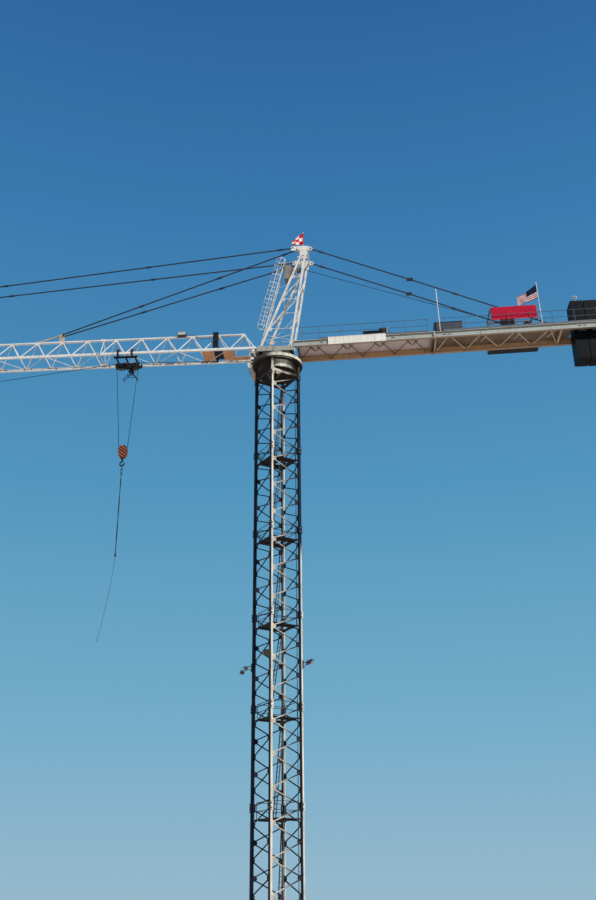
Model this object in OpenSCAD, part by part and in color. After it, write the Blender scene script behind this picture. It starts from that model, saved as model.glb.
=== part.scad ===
// Scale model, 1:10, of a hammerhead tower crane on a square lattice mast.
// Origin: mast axis at the underside of the base. Jib along -X, counter-jib along +X, +Z up.
// Every size is one of the model: 100 mm here is 1 m on the crane.

/* [Mast] */
// Spacing of the mast's corner chords, centre to centre
mast_w = 220; // [200:1:240]
// Side of the square corner chord
mast_chord = 18; // [14:1:22]
// Diameter of the face diagonals
mast_diag_d = 8; // [6:0.5:10]
// Length of one mast section
mast_section_h = 588; // [560:1:610]
// Zigzag pitches in one mast section
mast_pitches = 3; // [2:1:4]
// Height of the base frame under the first section
base_h = 160; // [140:1:200]
// Angle between a mast side and the jib when the crane is at rest
mast_turn = 35.2; // [30:0.1:60]
// Side of the joint collar at each end of a chord
collar_w = 25; // [23:1:28]
// Height of half a joint collar
collar_h = 26; // [20:1:36]

/* [Base] */
// Height of the crossed base beams
base_beam_h = 36; // [28:1:44]
// Width of the crossed base beams
base_beam_w = 30; // [24:1:36]
// Reach of each foot from the mast axis
foot_reach = 208; // [200:1:240]
// Diameter of the circle of anchor holes
anchor_pcd = 372; // [362:1:380]
// Radius of an anchor hole
anchor_r = 4; // [2:0.5:5]
// Thickness of a foot plate
foot_t = 8; // [6:1:12]

/* [Mast fittings] */
// Thickness of a landing plate
landing_t = 4; // [3:0.5:6]
// Width of the hatch in each landing
hatch_w = 70; // [60:1:80]
// Height of the landing guard rail
guard_h = 100; // [90:1:110]
// Width of an inner ladder
ladder_w = 34; // [30:1:40]
// Spacing of the ladder rungs
rung_gap = 30; // [26:1:40]
// Diameter of the cable that runs down inside the mast
mast_cable_d = 4; // [3:0.5:6]
// Height at which the work lights hang on the mast
light_z = 1600; // [1540:1:1640]

/* [Slewing] */
// Radius of the round walkway at the mast top
walk_r = 184; // [182:1:190]
// Height of the walkway's edge band
walk_band_h = 24; // [20:1:25]
// Height from the mast top to the walkway plate
neck_h = 108; // [100:1:114]
// Radius of the drum under the walkway
drum_r = 141; // [136:1:143]
// Height of the drum under the walkway
drum_h = 66; // [56:1:76]
// Radius of the slewing ring
ring_r = 118; // [110:1:122]
// Height of the fixed half of the slewing ring
ring_low_h = 34; // [32:1:38]
// Height of the turning half of the slewing ring
ring_top_h = 36; // [32:1:40]
// Running gap between the two halves of the ring
ring_gap = 0.3; // [0.2:0.1:1]
// Height of the slewing platform's side girders
plat_h = 38; // [34:1:44]
// Half width of the slewing platform
plat_y = 120; // [118:1:124]
// Front end of the slewing platform, ahead of the mast axis
plat_front = 142; // [138:1:146]
// Rear end of the slewing platform, behind the mast axis
plat_rear = 127; // [124:1:134]

/* [Cab] */
// Length of the operator cab
cab_len = 176; // [160:1:184]
// Width of the operator cab
cab_w = 122; // [110:1:130]
// Height of the operator cab
cab_h = 196; // [180:1:206]
// Thickness of the cab's walls
cab_wall = 5; // [4:0.5:7]

/* [Tower head] */
// Spacing of the two side frames from the centre line
head_y = 95; // [90:1:98]
// Height of the apex arms' centre line above the slewing platform
head_h = 872; // [850:1:890]
// Side of the leg boxes
leg_w = 15; // [12:1:18]
// Width of the ladder cage in front of the head
cage_w = 80; // [70:1:86]
// Radius of the rope sheave in the head
head_sheave_r = 17; // [14:1:19]
// Height of the pennant pole above the apex arm
pole_h = 134; // [120:1:150]

/* [Jib] */
// Half spacing of the jib's bottom chords
jib_y = 93.8; // [90:0.1:98]
// Height of the bottom chord centres above the slewing platform
jib_lift = 6; // [4:0.5:10]
// Height of the top chord above the bottom chords
jib_h = 174; // [165:1:185]
// Side of the square bottom chord
jib_chord = 16; // [13:1:18]
// Diameter of the top chord
jib_top_d = 18; // [15:1:20]
// Diameter of the jib's diagonals
jib_diag_d = 8; // [6:0.5:10]
// Panel length of the jib
jib_panel = 193.5; // [188:0.5:198]
// Panels in each long section of the jib
jib_panels = 6; // [5:1:6]
// Reach of the jib's first top node from the mast axis
jib_first_top = 250; // [244:1:256]
// Distance from a section's joint to its first bottom node
jib_joint_step = 22; // [18:1:30]
// Length of the last short section
jib_last_len = 267; // [255:1:300]
// Side of the tie bars that hold the jib
tie_w = 9; // [7:0.5:11]

/* [Counter-jib] */
// Half spacing of the counter-jib girders
cj_y = 110; // [106:1:114]
// Depth of the counter-jib girders
cj_depth = 47; // [42:1:52]
// Flange width of the counter-jib girders
cj_flange = 22; // [18:1:26]
// Rise of the counter-jib towards its rear end, in degrees
cj_rise = 1.55; // [1:0.05:2]
// Reach of the joint between the counter-jib's two halves
cj_joint = 1150; // [1120:1:1170]
// Length of the counter-jib's rear half
cj_rear_len = 1350; // [1340:1:1400]
// How far the counter-jib's girders start below the platform's top
cj_sink = 10; // [6:1:14]
// Height of the hand rails on the counter-jib
rail_h = 112; // [100:1:120]

/* [Ballast] */
// Number of ballast slabs
slab_count = 3; // [2:1:3]
// Thickness of one ballast slab
slab_t = 92; // [80:1:96]
// Gap between two ballast slabs
slab_gap = 6; // [4:1:8]
// Height of a ballast slab
slab_h = 482; // [460:1:500]
// Width of a ballast slab
slab_w = 130; // [120:1:150]
// How far a slab reaches below the counter-jib's girders
slab_drop = 214; // [200:1:230]

/* [Trolley and hook] */
// Reach of the trolley's centre at rest
trolley_x = 1116; // [1104:1:1128]
// Radius of a trolley wheel
wheel_r = 13; // [10:0.5:14]
// Radius of the rope sheaves on the trolley
sheave_r = 28; // [24:0.5:30]
// Diameter of the ropes
rope_d = 2.4; // [2:0.1:3]
// Reach of the hook block's centre at rest
hook_x = 1105; // [1095:1:1115]
// Depth of the hook block's top below the jib's bottom chords
hook_drop = 699; // [640:1:760]
// Height of the hook block's body
block_h = 105; // [96:1:115]
// Width of the hook block's body
block_w = 63; // [56:1:70]
// Thickness of the hook block across its two cheeks
block_t = 30; // [26:1:36]

/* [Hidden] */

FEW = 6;
ROUND = 48;
seat = 0.3;

mast_top = base_h + 6 * mast_section_h;
mast_half = mast_w / 2;
inner_half = mast_half - mast_chord / 2;
pitch_h = mast_section_h / mast_pitches;
collar_half = collar_w / 2;

neck_top = mast_top + neck_h;
ring_z = neck_top + landing_t;
ring_split = ring_z + ring_low_h;
plat_z = ring_split + ring_gap + ring_top_h;
plat_top = plat_z + plat_h;
jib_z = plat_top + jib_lift;
top_z = jib_z + jib_h;
apex_z = plat_top + head_h;
cj_z = plat_top - cj_sink;
block_z = jib_z - hook_drop;

white = [0.87, 0.87, 0.83];
steel_dark = [0.16, 0.18, 0.24];
steel_grey = [0.55, 0.58, 0.56];
rope_black = [0.09, 0.09, 0.1];

// a straight round bar of few sides between two points
module bar(a, b, d, sides = FEW) {
    v = b - a;
    l = norm(v);
    translate(a)
        rotate([0, acos(v[2] / l), atan2(v[1], v[0])])
            rotate([0, 0, 180 / sides])
                cylinder(h = l, d = d, $fn = sides);
}

// a square bar between two points, with w across and t up and down
module box_bar(a, b, w, t) {
    v = b - a;
    l = norm(v);
    translate(a)
        rotate([0, acos(v[2] / l), atan2(v[1], v[0])])
            translate([-t / 2, -w / 2, 0])
                cube([t, w, l]);
}

// a box given by its lowest and highest corners
module block(lo, hi) {
    translate(lo)
        cube(hi - lo);
}

// what stands on one mast corner, four times round
module each_side() {
    for (k = [0:3])
        rotate([0, 0, mast_turn + 90 * k])
            children();
}

module base_frame() {
    color(steel_dark)
        difference() {
            union() {
                for (k = [0:1])
                    rotate([0, 0, mast_turn + 45 + 90 * k])
                        translate([-foot_reach + foot_t, -base_beam_w / 2, 0])
                            cube([2 * (foot_reach - foot_t), base_beam_w, base_beam_h]);
                for (k = [0:3])
                    rotate([0, 0, mast_turn + 45 + 90 * k])
                        translate([mast_half * sqrt(2) - 40, -30, 0])
                            cube([foot_reach - mast_half * sqrt(2) + 40, 60, foot_t]);
                each_side() {
                    translate([mast_half - mast_chord / 2, -mast_half - mast_chord / 2, 0])
                        cube([mast_chord, mast_chord, base_h]);
                    translate([mast_half - collar_half, -mast_half - collar_half, base_h - collar_h])
                        cube([collar_w, collar_w, collar_h]);
                    box_bar([-mast_half, -mast_half, base_h - 16], [mast_half, -mast_half, base_h - 16],
                            mast_diag_d, mast_diag_d * 1.5);
                    bar([-mast_half, -mast_half, foot_t + 6], [0, -mast_half, base_h - 20], mast_diag_d);
                    bar([mast_half, -mast_half, foot_t + 6], [0, -mast_half, base_h - 20], mast_diag_d);
                }
            }
            for (k = [0:3])
                rotate([0, 0, mast_turn + 45 + 90 * k])
                    translate([anchor_pcd / 2, 0, -1])
                        cylinder(h = base_beam_h + 2, r = anchor_r, $fn = ROUND);
        }
}

// one section: four chords with half collars at both ends, and a zigzag on each face
module mast_section(n) {
    z0 = base_h + n * mast_section_h;
    z1 = z0 + mast_section_h;
    color(steel_dark)
        each_side() {
            translate([mast_half - mast_chord / 2, -mast_half - mast_chord / 2, z0])
                cube([mast_chord, mast_chord, mast_section_h]);
            for (z = [z0, z1 - collar_h])
                translate([mast_half - collar_half, -mast_half - collar_half, z])
                    cube([collar_w, collar_w, collar_h]);
            for (p = [0:mast_pitches - 1]) {
                zp = z0 + p * pitch_h;
                low = p == 0 ? zp + mast_diag_d : zp;
                high = p == mast_pitches - 1 ? zp + pitch_h - mast_diag_d : zp + pitch_h;
                bar([mast_half, -mast_half, low], [-mast_half, -mast_half, zp + pitch_h / 2], mast_diag_d);
                bar([-mast_half, -mast_half, zp + pitch_h / 2], [mast_half, -mast_half, high], mast_diag_d);
            }
        }
}

module mast_section_1() mast_section(0);
module mast_section_2() mast_section(1);
module mast_section_3() mast_section(2);
module mast_section_4() mast_section(3);
module mast_section_5() mast_section(4);
module mast_section_6() mast_section(5);

landing_half = inner_half - seat;
rail_d = 4;
// lugs that hold a landing to the inner faces of the chords
lug_w = 14;
lug_in = 8;
lug_out = 11;
// underside of the landing that stands on joint n
function landing_z(n) = base_h + n * mast_section_h - collar_h - landing_t;

// a plate with a hatch, bearers below it, and a guard rail round it
module landing(z) {
    arm = landing_half - 4;
    difference() {
        union() {
            translate([-landing_half, -landing_half, z])
                cube([2 * landing_half, 2 * landing_half, landing_t]);
            for (s = [-1, 1])
                for (y = [-landing_half - lug_out, landing_half - lug_in])
                    translate([s * (landing_half - lug_w / 2) - lug_w / 2, y, z - landing_t])
                        cube([lug_w, lug_in + lug_out, 2 * landing_t]);
        }
        translate([landing_half - 30 - hatch_w, -hatch_w / 2, z - 1])
            cube([hatch_w, hatch_w, landing_t + 2]);
    }
    for (s = [-1, 1])
        block([-landing_half + 4, s * 60 - 3, z - 8], [landing_half - 4, s * 60 + 3, z + 0.5]);
    for (k = [0:3])
        rotate([0, 0, 90 * k]) {
            bar([arm - 6, -arm + 6, z], [arm - 6, -arm + 6, z + guard_h], rail_d);
            for (h = [guard_h / 2, guard_h])
                bar([-arm + 6, -arm + 6, z + h], [arm - 6, -arm + 6, z + h], rail_d);
        }
}

module mast_landings() {
    color(steel_dark)
        rotate([0, 0, mast_turn])
            for (n = [1:5])
                landing(landing_z(n) - 40);
}

module ladder(a, b, w, gap, d) {
    n = floor(norm(b - a) / gap);
    side = [0, w / 2, 0];
    for (s = [-1, 1])
        box_bar(a + s * side, b + s * side, d * 0.8, d * 1.6);
    for (i = [1:n - 1]) {
        m = a + (b - a) * (i / n);
        bar(m - side, m + side, d * 0.8);
    }
}

module mast_ladders() {
    color(steel_grey)
        rotate([0, 0, mast_turn]) {
            ladder([8, 0, base_beam_h + seat], [46, 0, landing_z(1) + 40], ladder_w, rung_gap, rail_d);
            for (n = [1:5]) {
                foot = landing_z(n) - 40 + landing_t + seat;
                head = n == 5 ? mast_top - 8 : landing_z(n + 1) + 40;
                ladder([n % 2 == 0 ? -60 : -20, 0, foot], [46, 0, head], ladder_w, rung_gap, rail_d);
            }
        }
}

module mast_cable() {
    color(rope_black)
        rotate([0, 0, mast_turn])
            translate([mast_half - mast_diag_d / 2 - mast_cable_d / 2 - seat, -75, base_h])
                cylinder(h = mast_top - base_h - 2, d = mast_cable_d, $fn = 8);
}

// a bracket arm out of the chord and a flood light that looks down
module work_light(r, z) {
    chord_face = (mast_half + mast_chord / 2) * sqrt(2) + seat;
    block([chord_face, -4, z - 14], [chord_face + 3, 4, z + 18]);
    bar([chord_face + 1, 0, z + 14], [chord_face + r, 0, z + 14], 4);
    bar([chord_face + 2, 0, z - 8], [chord_face + r - 6, 0, z + 12], 3);
    translate([chord_face + r, 0, z])
        rotate([0, 18, 0])
            translate([-8, -12, -13])
                cube([16, 24, 26]);
}

module work_lights() {
    color(steel_dark)
        for (k = [0, 1, 2])
            rotate([0, 0, [170.2, -9.8, -99.8][k]])
                work_light([42, 40, 16][k], light_z + [0, 0, 90][k]);
}

module mast_neck() {
    plate = 8;
    color(steel_dark)
        difference() {
            union() {
                each_side() {
                    translate([mast_half - mast_chord / 2, -mast_half - mast_chord / 2, mast_top])
                        cube([mast_chord, mast_chord, neck_h - 1]);
                    translate([mast_half - collar_half, -mast_half - collar_half, mast_top])
                        cube([collar_w, collar_w, collar_h]);
                    block([-mast_half, -mast_half - 4, mast_top + 4],
                          [mast_half, -mast_half + 4, mast_top + collar_h - 1]);
                }
                translate([0, 0, neck_top - plate])
                    cylinder(h = plate, r = walk_r - 12, $fn = 96);
                translate([0, 0, neck_top - drum_h])
                    cylinder(h = drum_h - 1, r = drum_r, $fn = 96);
            }
            translate([0, 0, mast_top - 1])
                cylinder(h = neck_h + 2, r = ring_r - 32, $fn = ROUND);
        }
}

// the ring-shaped deck round the mast top, with the fixed half of the slewing ring on it
module round_walkway() {
    color(white) {
        difference() {
            translate([0, 0, neck_top])
                cylinder(h = walk_band_h, r = walk_r, $fn = 96);
            translate([0, 0, neck_top + landing_t])
                cylinder(h = walk_band_h, r = walk_r - 4, $fn = 96);
            translate([0, 0, neck_top - 1])
                cylinder(h = walk_band_h, r = ring_r - 32, $fn = ROUND);
        }
        difference() {
            translate([0, 0, ring_z - 1])
                cylinder(h = ring_low_h + 1, r = ring_r, $fn = 96);
            translate([0, 0, ring_z - 2])
                cylinder(h = ring_low_h + 3, r = ring_r - 22, $fn = ROUND);
        }
    }
}

module slewing_ring() {
    color(steel_grey)
        difference() {
            translate([0, 0, ring_split + ring_gap])
                cylinder(h = ring_top_h, r = ring_r + 3, $fn = 96);
            translate([0, 0, ring_split + ring_gap - 1])
                cylinder(h = ring_top_h + 2, r = ring_r - 22, $fn = ROUND);
        }
}

module slewing_platform() {
    hole = ring_r - 24;
    side = 6;
    color(steel_grey)
        difference() {
            union() {
                for (s = [-1, 1])
                    block([-plat_front, s * (plat_y - side) - side, plat_z],
                          [plat_rear, s * (plat_y - side) + side, plat_top]);
                for (x = [-plat_front + side, plat_rear - side])
                    block([x - side, -plat_y + 2, plat_z], [x + side, plat_y - 2, plat_top]);
                block([-plat_front, -plat_y + 2, plat_top - side], [plat_rear, plat_y - 2, plat_top]);
                translate([0, 0, plat_z])
                    cylinder(h = plat_h - 1, r = ring_r + 3, $fn = ROUND);
                for (x = cab_brackets)
                    block([x, plat_y - 2, plat_top - 26], [x + 24, cab_y0, plat_top - 6]);
            }
            translate([0, 0, plat_z - 1])
                cylinder(h = plat_h + 2, r = hole, $fn = ROUND);
        }
}

cab_x0 = -238;
cab_z0 = plat_top - 82;
cab_y0 = plat_y + 16;
cab_brackets = [-138, -90];

// side view of the cab, with its lower front raked back
function cab_outline(inset) = [
    [cab_x0 + cab_len - inset, cab_z0 + inset],
    [cab_x0 + cab_len - inset, cab_z0 + cab_h - inset],
    [cab_x0 + 14 + inset, cab_z0 + cab_h - inset],
    [cab_x0 + inset, cab_z0 + 80],
    [cab_x0 + 34 + inset, cab_z0 + inset]
];

module cab_prism(inset, w) {
    translate([0, cab_y0 + cab_w / 2 + w / 2, 0])
        rotate([90, 0, 0])
            linear_extrude(height = w)
                polygon(cab_outline(inset));
}

module cab_openings() {
    mid = cab_y0 + cab_w / 2;
    block([cab_x0 - 10, mid - cab_w / 2 + 10, cab_z0 + 88],
          [cab_x0 + 60, mid + cab_w / 2 - 10, cab_z0 + cab_h - 16]);
    block([cab_x0 - 10, mid - cab_w / 2 + 10, cab_z0 + 14],
          [cab_x0 + 40, mid + cab_w / 2 - 10, cab_z0 + 76]);
    block([cab_x0 + 28, cab_y0 - 10, cab_z0 + 84],
          [cab_x0 + cab_len - 70, cab_y0 + cab_w + 10, cab_z0 + cab_h - 16]);
    block([cab_x0 + cab_len - 58, cab_y0 - 10, cab_z0 + 84],
          [cab_x0 + cab_len - 16, cab_y0 + cab_w + 10, cab_z0 + cab_h - 16]);
}

module operator_cab() {
    color(white)
        difference() {
            cab_prism(0, cab_w);
            cab_prism(cab_wall, cab_w - 2 * cab_wall);
            cab_openings();
        }
}

module cab_glass() {
    color([0.35, 0.45, 0.5, 0.5])
        intersection() {
            difference() {
                cab_prism(1.2, cab_w - 2.4);
                cab_prism(3.2, cab_w - 6.4);
            }
            cab_openings();
        }
}

foot_h = 16;
leg_foot_z = plat_top + foot_h / 2;
front_foot = [-113, 0, leg_foot_z];
front_top = [193, 0, apex_z - 50];
rear_foot = [104, 0, leg_foot_z];
rear_top = [222, 0, apex_z - 44];
apex_low = apex_z - 20;
// inner faces of the legs
leg_in = head_y - leg_w / 2;

function at_y(p, y) = [p[0], y, p[2]];
function between(a, b, t) = a + (b - a) * t;
// the point of a leg or ladder at a height above the slewing platform
function on_line(a, b, h) = between(a, b, (plat_top + h - a[2]) / (b[2] - a[2]));
function on_front(h) = on_line(front_foot, front_top, h);
function on_rear(h) = on_line(rear_foot, rear_top, h);

// heights of the thin bars in the side frames, above the platform
side_levels = [162, 419, 620];
foot_cross = [58, 108];
thin = 5;

module head_side_frames() {
    color(white)
        for (s = [-1, 1]) {
            y = s * head_y;
            box_bar(at_y(front_foot, y), at_y(front_top, y), leg_w, leg_w);
            box_bar(at_y(rear_foot, y), at_y(rear_top, y), leg_w, leg_w);
            for (h = side_levels)
                bar(at_y(on_front(h), y), at_y(on_rear(h), y), thin);
            for (i = [0:1])
                bar(at_y(on_front(side_levels[i]), y), at_y(on_rear(side_levels[i + 1]), y), thin - 1);
            for (i = [0:1])
                bar(at_y(on_front(foot_cross[i]), y), at_y(on_rear(foot_cross[1 - i]), y), thin - i);
            for (x = [front_foot[0], rear_foot[0]])
                block([x - 16, y - 12, plat_top], [x + 14, y + 12, plat_top + foot_h]);
            block([front_top[0] - 14, y - leg_w / 2 + 1, apex_low - 44],
                  [rear_top[0] + 14, y + leg_w / 2 - 1, apex_low]);
        }
}

// heights of the cross bars between the side frames, and of the ends of the diagonals
cross_levels = [295, 442, 702];
cross_diags = [[179, 438], [446, 698]];
stub = 16;

// cross bars and diagonals between the front legs, and thinner ones between the rear legs
module leg_plane(a, b, d) {
    face = leg_in - 0.2;
    for (h = cross_levels)
        bar(at_y(on_line(a, b, h), -face), at_y(on_line(a, b, h), face), d);
    for (q = cross_diags)
        bar(at_y(on_line(a, b, q[0]), -leg_in + d), at_y(on_line(a, b, q[1]), leg_in - d), d);
    low = on_line(a, b, cross_diags[0][0]);
    bar(at_y(low, -face), at_y(low, -face + stub), d);
}

module head_bracing() {
    color(white) {
        leg_plane(front_foot, front_top, 8);
        leg_plane(rear_foot, rear_top, 6);
    }
}

// pins of the outer ties, the inner ties and the rear ties
pin_outer = [125, 0, apex_z + 6];
pin_inner = [156, 0, apex_z - 12];
pin_rear = [263, 0, apex_z - 7];
pin_r = 3;
sheave_at = [162, 0, apex_z - 133];

module along_y(p, h, r, sides) {
    translate([p[0], p[1] + h / 2, p[2]])
        rotate([90, 0, 0])
            cylinder(h = h, r = r, $fn = sides);
}

module apex_beam() {
    slot = 7;
    color(white) {
        for (s = [-1, 1]) {
            difference() {
                translate([0, s * head_y + leg_w / 2, apex_z])
                    rotate([90, 0, 0])
                        linear_extrude(height = leg_w)
                            polygon([[112, -10], [112, 10], [117, 17], [126, 20], [230, 20], [245, 16],
                                     [270, 5], [277, -4], [275, -14], [266, -21], [250, -25], [240, -20],
                                     [124, -20], [116, -17]]);
                block([100, s * head_y - slot / 2, apex_z - 30], [144, s * head_y + slot / 2, apex_z + 30]);
                block([100, s * head_y - slot / 2, apex_z - 30], [168, s * head_y + slot / 2, apex_z - 2]);
                block([250, s * head_y - slot / 2, apex_z - 30], [290, s * head_y + slot / 2, apex_z + 30]);
            }
            for (p = [pin_outer, pin_inner, pin_rear])
                along_y([p[0], s * head_y, p[2]], leg_w + 4, pin_r, 16);
        }
        for (x = [172, 236])
            block([x, -leg_in - 1, apex_low + 2], [x + 10, leg_in + 1, apex_low + 16]);
        // cheeks that hold the rope sheave between them
        for (s = [-1, 1]) {
            block([sheave_at[0] - 6, s * 10 - 2, sheave_at[2] - 8],
                  [sheave_at[0] + 6, s * 10 + 2, apex_low + 14]);
            block([sheave_at[0] - 4, s * 10 - 2, apex_low + 4], [238, s * 10 + 2, apex_low + 14]);
        }
        along_y(sheave_at, 12, head_sheave_r, ROUND);
        along_y(sheave_at, 28, pin_r, 16);
    }
}

// the line of the caged ladder, ahead of the front legs
ladder_foot = [-138, 0, plat_top + 1.2];
ladder_top = [62, 0, apex_z - 37];
function on_ladder(h) = on_line(ladder_foot, ladder_top, h);
// heights of the struts above the platform
strut_levels = [142, 352, 562, 782];
stile_y = 22;

// a strut to the inner face of a front leg, with a pad on the leg
module leg_strut(p, h, s, d) {
    q = at_y(on_front(h), s * (leg_in - 2.2));
    bar(p, q, d);
    block(q - [6, 2, 6], q + [6, 2, 6]);
}

// a ladder with hoops, held off the front legs by struts
module head_ladder() {
    run = ladder_top - ladder_foot;
    lean = acos(run[2] / norm(run));
    half = cage_w / 2;
    from = 0.28;
    color(white) {
        ladder(ladder_foot, ladder_top, 2 * stile_y, rung_gap, 4);
        for (i = [0:8])
            translate(between(ladder_foot, ladder_top, from + 0.09 * i))
                rotate([0, lean, 0])
                    difference() {
                        translate([-half + 6, 0, -4])
                            cylinder(h = 4, r = half, $fn = 12);
                        translate([-half + 6, 0, -5])
                            cylinder(h = 6, r = half - 4, $fn = 12);
                        translate([4, -cage_w, -6])
                            cube([cage_w, 2 * cage_w, 8]);
                    }
        for (q = [[-2 * half + 8, 0], [-half + 6, half - 2], [-half + 6, -half + 2]])
            translate(ladder_foot)
                rotate([0, lean, 0])
                    translate([q[0] - 1.5, q[1] - 1.5, norm(run) * from - 4])
                        cube([3, 3, norm(run) * (1 - from)]);
        for (h = strut_levels)
            for (s = [-1, 1])
                leg_strut(on_ladder(h) + [0, s * stile_y, 0], h, s, 4);
    }
}

basket_y = 40;
// side view of the basket in x and in depth below the apex
basket_side = [[64, -103], [119, -115], [86, -230], [59, -230]];
basket_hollow = [[68, -93], [115, -105], [83, -227], [62, -227]];

module basket_prism(outline, w) {
    translate([0, w / 2, apex_z])
        rotate([90, 0, 0])
            linear_extrude(height = w)
                polygon(outline);
}

module head_basket() {
    color([0.48, 0.42, 0.36]) {
        difference() {
            basket_prism(basket_side, 2 * basket_y);
            basket_prism(basket_hollow, 2 * basket_y - 6);
        }
        for (s = [-1, 1])
            leg_strut([108, s * (basket_y - 1.5), apex_z - 122], head_h - 122, s, 4);
    }
}

pole_at = 205;

module pennant_pole() {
    color(white)
        translate([pole_at, -head_y, apex_z + 20 + seat])
            cylinder(h = pole_h, d = 5, $fn = 8);
}

// the pennant hangs from its pole with a drooping fly
module pennant() {
    color([0.8, 0.1, 0.1])
        translate([pole_at, -head_y + 1, apex_z])
            rotate([90, 0, 0])
                linear_extrude(height = 2)
                    polygon([[-2.8, 142], [-2.8, 38], [-86, 36], [-85, 76]]);
}

function joint_x(n) = jib_first_top + 5.5 * jib_panel + n * (jib_joint_step + jib_panels * jib_panel);
jib_tip = joint_x(5) + jib_last_len;
foot_gap = 8;
jib_foot = plat_front + foot_gap;
web_y = jib_y - 6;
// how far from a section's end its posts stand
end_in = 5;

// chords and bracing of one section from reach x0 to reach x1, with a post at its outer end
module jib_frame(x0, x1, top_from, bottoms, tops) {
    half = jib_chord / 2;
    n = len(bottoms) - 1;
    for (s = [-1, 1]) {
        block([-x1, s * jib_y - half, jib_z - half], [-x0, s * jib_y + half, jib_z + half]);
        bar([-tops[len(tops) - 1], 0, top_z], [-x1 + end_in + 3, s * web_y, jib_z], jib_diag_d);
        bar([-x1 + end_in, 0, top_z], [-x1 + end_in, s * web_y, jib_z], jib_diag_d - 1);
        bar([-x1 + end_in - 1, -s * jib_y, jib_z], [-x1 + end_in - 1, 0, jib_z], 6);
    }
    translate([-x1, 0, top_z])
        rotate([0, 90, 0])
            rotate([0, 0, 22.5])
                cylinder(h = x1 - top_from, d = jib_top_d, $fn = 8);
    if (n > 0)
        for (i = [0:n - 1]) {
            y = i % 2 == 0 ? -jib_y : jib_y;
            bar([-bottoms[i], y, jib_z], [-bottoms[i + 1], -y, jib_z], 5);
        }
}

// a straight section: the zigzag starts at its first bottom node
module jib_section(x0, x1, panels) {
    first = x0 + jib_joint_step;
    bottoms = [for (i = [0:panels - 1]) first + i * jib_panel];
    tops = [for (i = [0:panels - 1]) first + (i + 0.5) * jib_panel];
    jib_frame(x0, x1, x0, bottoms, tops);
    for (s = [-1, 1])
        for (i = [0:panels - 1]) {
            bar([-bottoms[i], s * web_y, jib_z], [-tops[i], 0, top_z], jib_diag_d);
            if (i > 0)
                bar([-tops[i - 1], 0, top_z], [-bottoms[i], s * web_y, jib_z], jib_diag_d);
        }
}

foot_sheave = [-jib_foot - 36, 40, jib_z - 16];
foot_sheave_r = 12;

// the first section: its top chord starts at the first top node and runs down to the foot
module jib_section_1() {
    tops = [for (i = [0:5]) jib_first_top + i * jib_panel];
    bottoms = [for (i = [0:4]) jib_first_top + (i + 0.5) * jib_panel];
    cross = jib_foot + 50;
    color(white) {
        jib_frame(jib_foot, joint_x(0), tops[0] - 8, bottoms, tops);
        for (s = [-1, 1]) {
            bar([-jib_foot - 6, s * web_y, jib_z], [-tops[0], 0, top_z], 10);
            for (i = [0:4]) {
                bar([-tops[i], 0, top_z], [-bottoms[i], s * web_y, jib_z], jib_diag_d);
                bar([-bottoms[i], s * web_y, jib_z], [-tops[i + 1], 0, top_z], jib_diag_d);
            }
            block([-jib_foot - 31, s * jib_y - 3, plat_z + 14], [-plat_front, s * jib_y + 5, jib_z - 5]);
            along_y([-jib_foot + 1, s * jib_y, plat_z + 23], 17, 4, 10);
            block([-cross - 4, foot_sheave[1] + s * 7 - 2, foot_sheave[2] - 5],
                  [foot_sheave[0] + 6, foot_sheave[1] + s * 7 + 2, jib_z - 1.3]);
        }
        bar([-cross, -jib_y, jib_z], [-cross, jib_y, jib_z], jib_diag_d);
        along_y(foot_sheave, 8, foot_sheave_r, ROUND);
        along_y(foot_sheave, 21, pin_r, 10);
    }
}

module jib_section_2() color(white) jib_section(joint_x(0), joint_x(1), jib_panels);
module jib_section_3() color(white) jib_section(joint_x(1), joint_x(2), jib_panels);
module jib_section_4() color(white) jib_section(joint_x(2), joint_x(3), jib_panels);
module jib_section_5() color(white) jib_section(joint_x(3), joint_x(4), jib_panels);
module jib_section_6() color(white) jib_section(joint_x(4), joint_x(5), jib_panels);

tip_sheave_r = 13;
tip_frame = 42;
tip_sheave = [-jib_tip + tip_frame / 2, 0, jib_z - 22];

// the last short section, with the end frame and the rope sheave
module jib_section_7() {
    x0 = joint_x(5);
    color(white) {
        jib_section(x0, jib_tip - tip_frame + 2, 1);
        block([-jib_tip, -jib_y - 8, jib_z - 16], [-jib_tip + tip_frame, jib_y + 8, jib_z + 10]);
        for (s = [-1, 1]) {
            bar([-jib_tip + 20, s * (jib_y - 10), jib_z], [-jib_tip + 46, 0, top_z], jib_diag_d);
            block([tip_sheave[0] - 15, s * 8 - 2, tip_sheave[2] - 12],
                  [tip_sheave[0] + 15, s * 8 + 2, jib_z - 14]);
        }
        along_y(tip_sheave, 12, tip_sheave_r, 24);
        along_y(tip_sheave, 22, pin_r, 16);
    }
}

jib_floor_y = jib_y - 18;
floor_low = jib_z + 3 + seat;
floor_top = floor_low + 4;

module jib_floor() {
    color([0.42, 0.33, 0.24]) {
        for (r = [[465, 555], [313, 399]])
            block([-r[1], -jib_floor_y, floor_low], [-r[0], jib_floor_y, floor_top]);
        block([-314, 28, floor_low], [-206, jib_floor_y, floor_top]);
    }
}

trolley_rope_y = 60;
trolley_rope_z = jib_z - 13;
winch_at = -450;

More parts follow.
